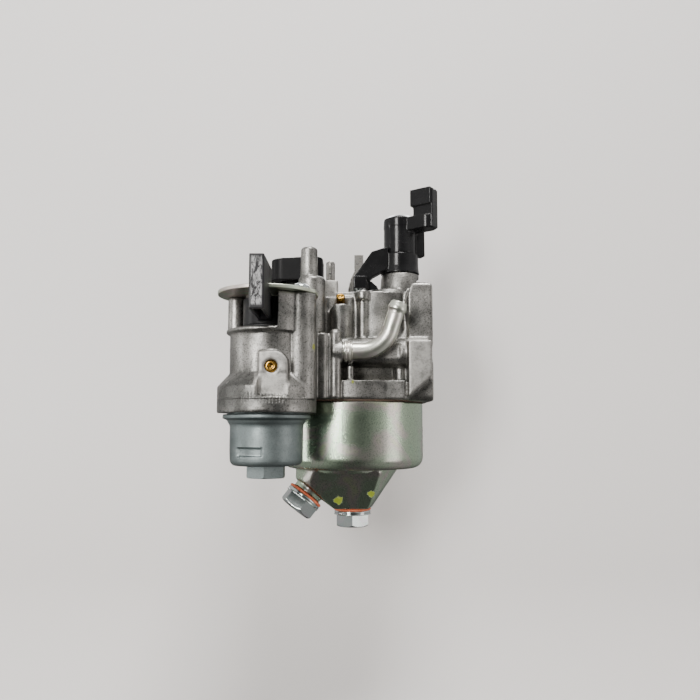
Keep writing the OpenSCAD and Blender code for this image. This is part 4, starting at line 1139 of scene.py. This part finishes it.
@dataclass
class FuelInlet:
    """The bent fuel tube and the ferrule it is pressed into."""

    start: Point = (38.8, -28.6, -0.4)
    straight: float = 7.4
    bend_r: float = 10.5
    rise: float = 72.0
    tail: float = 10.6
    r: float = 2.96
    bore: float = 2.1

    def build(self, frame: Frame) -> None:
        """Builds the tube and the ferrule."""
        tube = piece_from("fuel_tube", self.tube(), 50)
        paint(tube, Finish.TUBE.paint())
        stands_for(tube, "casting", "zinc_sheet", "fuel_inlet_tube")
        ferrule = piece_from("tube_ferrule_turned", self.ferrule())
        paint(ferrule, Finish.TUBE.paint())
        stands_for(ferrule, "casting", "zinc_sheet", "tube_ferrule")

    def tube(self) -> Surface:
        """Gives the tube: a straight run, an arc and a straight tail in the xz plane.

        At a distance s along it the path is (s, 0), then the arc's (R sin a, R (1 - cos a)), then a
        line at the arc's last angle. The outside radius has a barbed bead near the outlet, the lip
        is rounded over, and the bore runs back down the same path.
        """
        arc = math.radians(self.rise) * self.bend_r
        total = self.straight + arc + self.tail
        bead, lip = total - 3.6, total
        mouth = total - 4.2
        s = np.unique(np.concatenate([np.linspace(0, mouth, 70), np.linspace(mouth, total, 46)]))
        swell = 0.44 * smoothed(s, bead - 0.1, bead + 0.9) * (1 - smoothed(s, bead + 1.2, bead + 3.3))
        groove = 0.1 * np.exp(-((s - bead + 0.5) / 0.35) ** 2)
        outer = self.r + swell - groove - 0.35 * smoothed(s, lip - 0.45, lip) ** 2
        inner = self.bore + 0.3 * smoothed(s, lip - 0.35, lip) ** 2
        along = np.concatenate([s, s[::-1]])
        radius = np.concatenate([outer, inner[::-1]])
        rise = math.radians(self.rise)
        a = np.clip((along - self.straight) / self.bend_r, 0, rise)
        tail = np.clip(along - self.straight - arc, 0, None)
        x = np.minimum(along, self.straight) + self.bend_r * np.sin(a) + tail * math.cos(rise)
        z = self.bend_r * (1 - np.cos(a)) + tail * math.sin(rise)
        path = np.stack([x, np.zeros_like(x), z], -1) + np.asarray(self.start)
        u = np.stack([-np.sin(a), np.zeros_like(a), np.cos(a)], -1)
        angle = np.linspace(0, 2 * np.pi, 56, endpoint=False)[None, :, None]
        points = path[:, None] + radius[:, None, None] * (
            np.cos(angle) * u[:, None] + np.sin(angle) * np.array([0.0, 1.0, 0.0]))
        return Surface(points.reshape(-1, 3), grid_faces(len(path), 56, True))

    def ferrule(self) -> Surface:
        """Gives the ferrule: a rolled collar and a narrower lip round the tube, about the x axis."""
        x = self.start[0]
        loop = rounded([(3.02, 1.35, 0), (3.5, 1.32, 0.2), (3.74, 1.5, 0.2), (3.74, 2.0, 0.2),
                        (3.45, 2.2, 0.2), (3.45, 2.5, 0.2), (3.73, 2.7, 0.2), (3.7, 3.2, 0.3),
                        (3.46, 3.4, 0.2), (3.4, 4.1, 0.3), (3.2, 4.18, 0.15), (3.02, 4.1, 0)], 5)
        return revolved(loop, 72, ring=True).turned(about("y", 90)).moved((x, self.start[1], self.start[2]))


@dataclass
class FloatBowl:
    """The stamped bowl with its bolts, washers and gasket, and the float and jets inside."""

    centre: float = 43.0
    foot: float = -57.0
    across: float = 12.0
    drain_at: Point = (27.1, -5.2, -49.9)
    drain_turn: float = 197.0
    drain_tilt: float = 51.0
    neck: float = 2.2

    def build(self, frame: Frame) -> None:
        """Builds the bowl, bolts and washers, and dresses what is inside."""
        bowl = softened("bowl_stamped", frame["nodes"]["float_bowl"], 0.33, 5, 150_000)
        paint(bowl, Finish.BOWL.paint())
        stands_for(bowl, "casting", "zinc_sheet", "float_bowl")
        drain = about("z", self.drain_turn) @ about("y", 90 + self.drain_tilt)
        upright = flange_bolt(self.across, 6.9, 3.0, 8.0).moved((self.centre, 0, self.foot - 1.02))
        slanted = flange_bolt(self.across, 6.9, 3.0, self.neck + 2.6).turned(about("x", 180))
        slanted = slanted.moved((0, 0, self.neck + 1.02)).turned(drain).moved(self.drain_at)
        for name, node, surface in (("bowl_bolt_hex", "bowl_bolt", upright),
                                    ("drain_bolt_hex", "drain_bolt", slanted)):
            bolt = piece_from(name, surface, 30)
            paint(bolt, Finish.BRIGHT.paint())
            stands_for(bolt, "casting", "bright_zinc", node)
        level = self.washer(7.1).moved((self.centre, 0, self.foot - 0.98))
        slanted = self.washer(7.0).moved((0, 0, self.neck + 0.02)).turned(drain).moved(self.drain_at)
        for name, node, surface in (("bowl_washer_fibre", "bowl_bolt_washer", level),
                                    ("drain_washer_fibre", "drain_washer", slanted)):
            washer = piece_from(name, surface)
            paint(washer, Finish.FIBRE.paint())
            stands_for(washer, "casting", "fibre_red", node)
        keep(frame, Finish.GASKET, "bowl_gasket")
        keep(frame, Finish.FLOAT, "float", bevel=0.3)
        keep(frame, Finish.STEEL, "float_pin")
        keep(frame, Finish.RUBBER, "float_needle")
        keep(frame, Finish.BRASS, "needle_seat", "main_nozzle", "main_jet")

    def washer(self, r: float) -> Surface:
        """Gives a fibre washer: a rounded rectangle turned round the z axis, bulging at its rim."""
        loop = rounded([(3.35, 0.02, 0), (r - 0.3, 0.02, 0.3), (r, 0.3, 0.25), (r, 0.66, 0.25),
                        (r - 0.3, 0.94, 0.3), (3.35, 0.94, 0)], 6)
        return revolved(loop, 96, ring=True)


@dataclass
class ThrottleGear:
    """The throttle shaft, its plate, its black cap lever and the seal."""

    def build(self, frame: Frame) -> None:
        """Builds the cap lever and dresses the shaft and the plate."""
        lever = softened("throttle_lever_moulded", frame["nodes"]["throttle_lever"], 0.28, 4)
        paint(lever, Finish.MATTE.paint())
        stands_for(lever, "throttle", "matte_black", "throttle_lever")
        keep(frame, Finish.STEEL, "throttle_shaft", bevel=0.1)
        keep(frame, Finish.MATTE, "throttle_stop_tab", bevel=0.15)
        keep(frame, Finish.BRASS, "throttle_plate", "throttle_plate_screws")
        keep(frame, Finish.RUBBER, "throttle_seal", bevel=0.15)


@dataclass
class ChokeGear:
    """The choke shaft, its plate, its glossy hand lever and the cam below it."""

    bracket_screw: Point = (44.9, 4.6, 23.93)

    def build(self, frame: Frame) -> None:
        """Builds the lever and the cam, and dresses the rest."""
        lever = softened("choke_lever_moulded", frame["nodes"]["choke_lever"], 0.24, 3)
        paint(lever, Finish.GLOSS.paint())
        stands_for(lever, "choke", "gloss_black", "choke_lever")
        cam = softened("choke_cam_moulded", frame["nodes"]["choke_cam"], 0.24, 3)
        paint(cam, Finish.GLOSS.paint())
        stands_for(cam, "choke", "gloss_black", "choke_cam")
        screw = piece_from("bracket_screw_pan", pan_screw(2.4, 1.6, 1.2, 4.8, 12).moved(self.bracket_screw))
        paint(screw, Finish.BRIGHT.paint())
        stands_for(screw, "casting", "bright_zinc", "bracket_screw")
        keep(frame, Finish.STEEL, "choke_shaft", bevel=0.1)
        keep(frame, Finish.SHEET, "choke_plate")
        keep(frame, Finish.STEEL, "link_bracket", bevel=0.2)
        keep(frame, Finish.BRASS, "choke_plate_screws")
        keep(frame, Finish.SPRING, "choke_detent_spring")


@dataclass
class IdleAndMixture:
    """The idle stop screw with its spring, and the mixture screw with its limiter cap."""

    idle: tuple[float, float] = (7.4, 24.0)
    spring_from: float = 21.05
    spring_r: float = 2.9
    wire: float = 0.4
    length: float = 5.9
    turns: int = 5

    def build(self, frame: Frame) -> None:
        """Builds the spring and the idle screw, and dresses the rest."""
        spring = piece_from("idle_spring_coil", self.spring(), 180)
        paint(spring, Finish.SPRING.paint())
        stands_for(spring, "casting", "spring_steel", "idle_stop_spring")
        screw = piece_from("idle_screw_knurled", self.screw(), 50)
        paint(screw, Finish.MATTE.paint())
        stands_for(screw, "idle_screw", "matte_black", "idle_stop_screw")
        keep(frame, Finish.BRASS, "mixture_screw", "pilot_jet")
        keep(frame, Finish.MATTE, "mixture_limiter_cap", bevel=0.2)

    def spring(self) -> Surface:
        """Gives the coil spring: a wire's circle carried along (r cos t, r sin t, c + p t).

        Its ends are drawn in to points, so the wire closes there.
        """
        t = np.linspace(0, 2 * np.pi * self.turns, 48 * self.turns + 1)
        rise = (self.length - 2 * self.wire) / (2 * np.pi * self.turns)
        path = np.stack([self.spring_r * np.cos(t), self.spring_r * np.sin(t), self.wire + rise * t], -1)
        across = np.stack([np.cos(t), np.sin(t), np.zeros_like(t)], -1)
        radius = np.full(len(t), self.wire)
        path = np.vstack([path[:1], path, path[-1:]])
        across = np.vstack([across[:1], across, across[-1:]])
        made = swept(path, across, np.concatenate([[1e-6], radius, [1e-6]]), 14)
        return made.turned(about("x", -90)).moved((self.idle[0], self.spring_from, self.idle[1]))

    def screw(self) -> Surface:
        """Gives the idle screw: a threaded shank and a knob whose rim has eight soft lobes.

        The knob's radius is 4.53 + 0.28 cos 8a, and its face has one straight slot.
        """
        rows = rounded([(0, 4.1, 0), (1.3, 4.12, 0.3), (1.93, 4.7, 0.3), (1.93, 27.0, 0), (4.4, 27.05, 0.3),
                        (4.55, 27.4, 0.3), (4.55, 31.1, 0.4), (4.1, 31.48, 0.3), (0, 31.48, 0)], 6)
        profile = divided(rows, 0.16)[0]

        def section(radius: np.ndarray, height: np.ndarray, angle: np.ndarray) -> np.ndarray:
            """Cuts the thread and the lobes."""
            ridges = 0.07 * np.cos(2 * np.pi * height / 0.8 - angle) - 0.07
            thread = np.where((height < 26.8) & (radius > 1.7), ridges, 0)
            lobes = np.where((height > 27.02) & (radius > 3.9), 0.28 * np.cos(8 * angle) - 0.02, 0)
            return radius + thread + lobes

        made = revolved(profile, 96, shape=section)
        x, y, z = made.points.T
        slot = (1 - smoothed(np.abs(x), 0.4, 0.55)) * (1 - smoothed(np.abs(y), 2.6, 2.9))
        made.points[:, 2] = z - 1.0 * slot * (z > 31.3)
        return made.turned(about("x", -90)).moved((self.idle[0], 0, self.idle[1]))


# ---------------------------------------------------------------- studio

@dataclass
class Studio:
    """A plain pale sheet, soft lights and the camera."""

    eye: Point = (42.1, -271.8, -26.8)
    pitch: float = 6.3
    lens: float = 36.0
    sheet_y: float = 46.0
    sheet_foot: float = -150.0

    def build(self) -> None:
        """Builds the camera, the sheet, the lights and the world."""
        self.camera()
        self.sheet()
        self.lights()
        self.world()

    def camera(self) -> None:
        """Places the camera."""
        camera = bpy.data.cameras.new("camera")
        camera.lens, camera.sensor_width, camera.clip_start = self.lens, 36.0, 0.01
        stand = bpy.data.objects.new("camera", camera)
        stand.location = [c * MM for c in self.eye]
        stand.rotation_euler = (math.radians(90 + self.pitch), 0, 0)
        bpy.context.scene.collection.objects.link(stand)
        bpy.context.scene.camera = stand

    def sheet(self) -> None:
        """Hangs a pale sheet behind the object that curves forward into a floor.

        Its section is an upright line, a quarter circle and a level line, carried along x. It shows
        only its front, so views from behind see past it. Its colour is darker towards the bottom,
        a painted shade below the object.
        """
        radius, back = 60.0, self.sheet_y
        arc = np.linspace(0, np.pi / 2, 16)
        y = np.concatenate([[back], back - radius + radius * np.cos(arc), [-900.0]])
        z = np.concatenate([[700.0], self.sheet_foot + radius - radius * np.sin(arc), [self.sheet_foot]])
        x = np.linspace(-900, 1000, 12)
        points = np.stack([np.repeat(x, len(y)), np.tile(y, len(x)), np.tile(z, len(x))], -1)
        a = (np.arange(len(x) - 1)[:, None] * len(y) + np.arange(len(y) - 1)[None]).ravel()
        faces = np.stack([a, a + 1, a + len(y) + 1, a + len(y)], -1)
        mesh = bpy.data.meshes.new("sheet")
        mesh.from_pydata((points * MM).tolist(), [], faces.tolist())
        shade(mesh, 180)
        sheet = placed("sheet", mesh)
        made, w, shader = new_material("Pale sheet")
        at = w.coordinates()
        tone = w.blend(w.noise(at, 2.0, 2, 0.5), (0.72, 0.702, 0.69), (0.77, 0.752, 0.74))
        # Darker towards the bottom, mixed towards a dimmer grey: a painted shade below the object.
        low = w.remap(w.place_xyz()[2], -0.13, 0.0, 0.3, 0.0, True)
        w.feed(shader.inputs["Base Color"], w.blend(low, tone, (0.5, 0.47, 0.45)))
        shader.inputs["Roughness"].default_value = 0.85
        shader.inputs["Specular IOR Level"].default_value = 0.1
        behind = w.place("ShaderNodeNewGeometry").outputs["Backfacing"]
        clear = w.place("ShaderNodeBsdfTransparent").outputs[0]
        mixed = w.place("ShaderNodeMixShader", inputs={0: behind, 1: shader.outputs[0], 2: clear})
        made.node_tree.links.new(mixed.outputs[0], made.node_tree.nodes["Material Output"].inputs[0])
        paint(sheet, made)
        sheet.visible_glossy = False

    def lights(self) -> None:
        """Hangs soft rectangular lights: a tall key before the object's left, one broad light above,
        one tall light on each side and one behind."""
        for name, at, to, size, power, colour in (
                ("key", (-250, -620, 150), (40, -10, -5), (170, 330), 4.1, (1.0, 0.985, 0.96)),
                ("high", (100, -260, 640), (40, -10, 0), (280, 240), 6.0, (1.0, 0.985, 0.965)),
                ("left", (-680, -120, -20), (40, -10, 0), (80, 460), 1.0, (1.0, 0.99, 0.97)),
                ("right", (640, -250, -60), (50, -10, 0), (240, 420), 0.6, (1.0, 0.95, 0.92)),
                ("back", (60, 520, 360), (40, 0, 0), (420, 300), 3.0, (1.0, 1.0, 1.0))):
            light = bpy.data.lights.new(name, "AREA")
            light.shape, light.energy, light.color = "RECTANGLE", power, colour
            light.size, light.size_y = size[0] * MM, size[1] * MM
            lamp = bpy.data.objects.new(name, light)
            lamp.location = [c * MM for c in at]
            away = np.subtract(at, to)
            lamp.rotation_euler = (math.atan2(math.hypot(away[0], away[1]), away[2]), 0,
                                   math.atan2(away[1], away[0]) + math.pi / 2)
            bpy.context.scene.collection.objects.link(lamp)

    def world(self) -> None:
        """Surrounds the object with a pale room that is darker on the camera's side and below."""
        world = bpy.data.worlds.new("room")
        world.use_nodes = True
        w = Weaver(world.node_tree)
        direction = w.place("ShaderNodeTexCoord").outputs["Generated"]
        split = w.place("ShaderNodeSeparateXYZ", inputs={0: direction})
        height = w.remap(split.outputs["Z"], -0.5, 0.8, 0.07, 0.5, True)
        front = w.remap(split.outputs["Y"], -1.0, -0.55, 0.32, 1.0, True)
        side = w.remap(w.math("ABSOLUTE", split.outputs["X"]), 0.1, 0.7, 0.0, 0.26, True)
        lit = w.math("MULTIPLY", w.math("ADD", height, side), front)
        seen = w.place("ShaderNodeLightPath").outputs["Is Camera Ray"]
        amount = w.place("ShaderNodeMix", {"data_type": "FLOAT"}, {0: seen, 2: lit, 3: 0.6}).outputs[0]
        back = world.node_tree.nodes["Background"]
        w.feed(back.inputs["Color"], (1.0, 0.985, 0.965))
        w.feed(back.inputs["Strength"], amount)
        bpy.context.scene.world = world


# ---------------------------------------------------------------- making

def main() -> None:
    """Builds the carburetor's sub-assemblies in order, and the studio round them."""
    logging.basicConfig(level=logging.INFO, format="%(message)s")
    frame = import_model()
    Studio().build()
    for assembly in (BodyCasting(), FuelCock(), FuelInlet(), FloatBowl(), ThrottleGear(), ChokeGear(),
                     IdleAndMixture()):
        assembly.build(frame)
        log.info("%s is built", type(assembly).__name__)


if __name__ == "__main__":
    main()
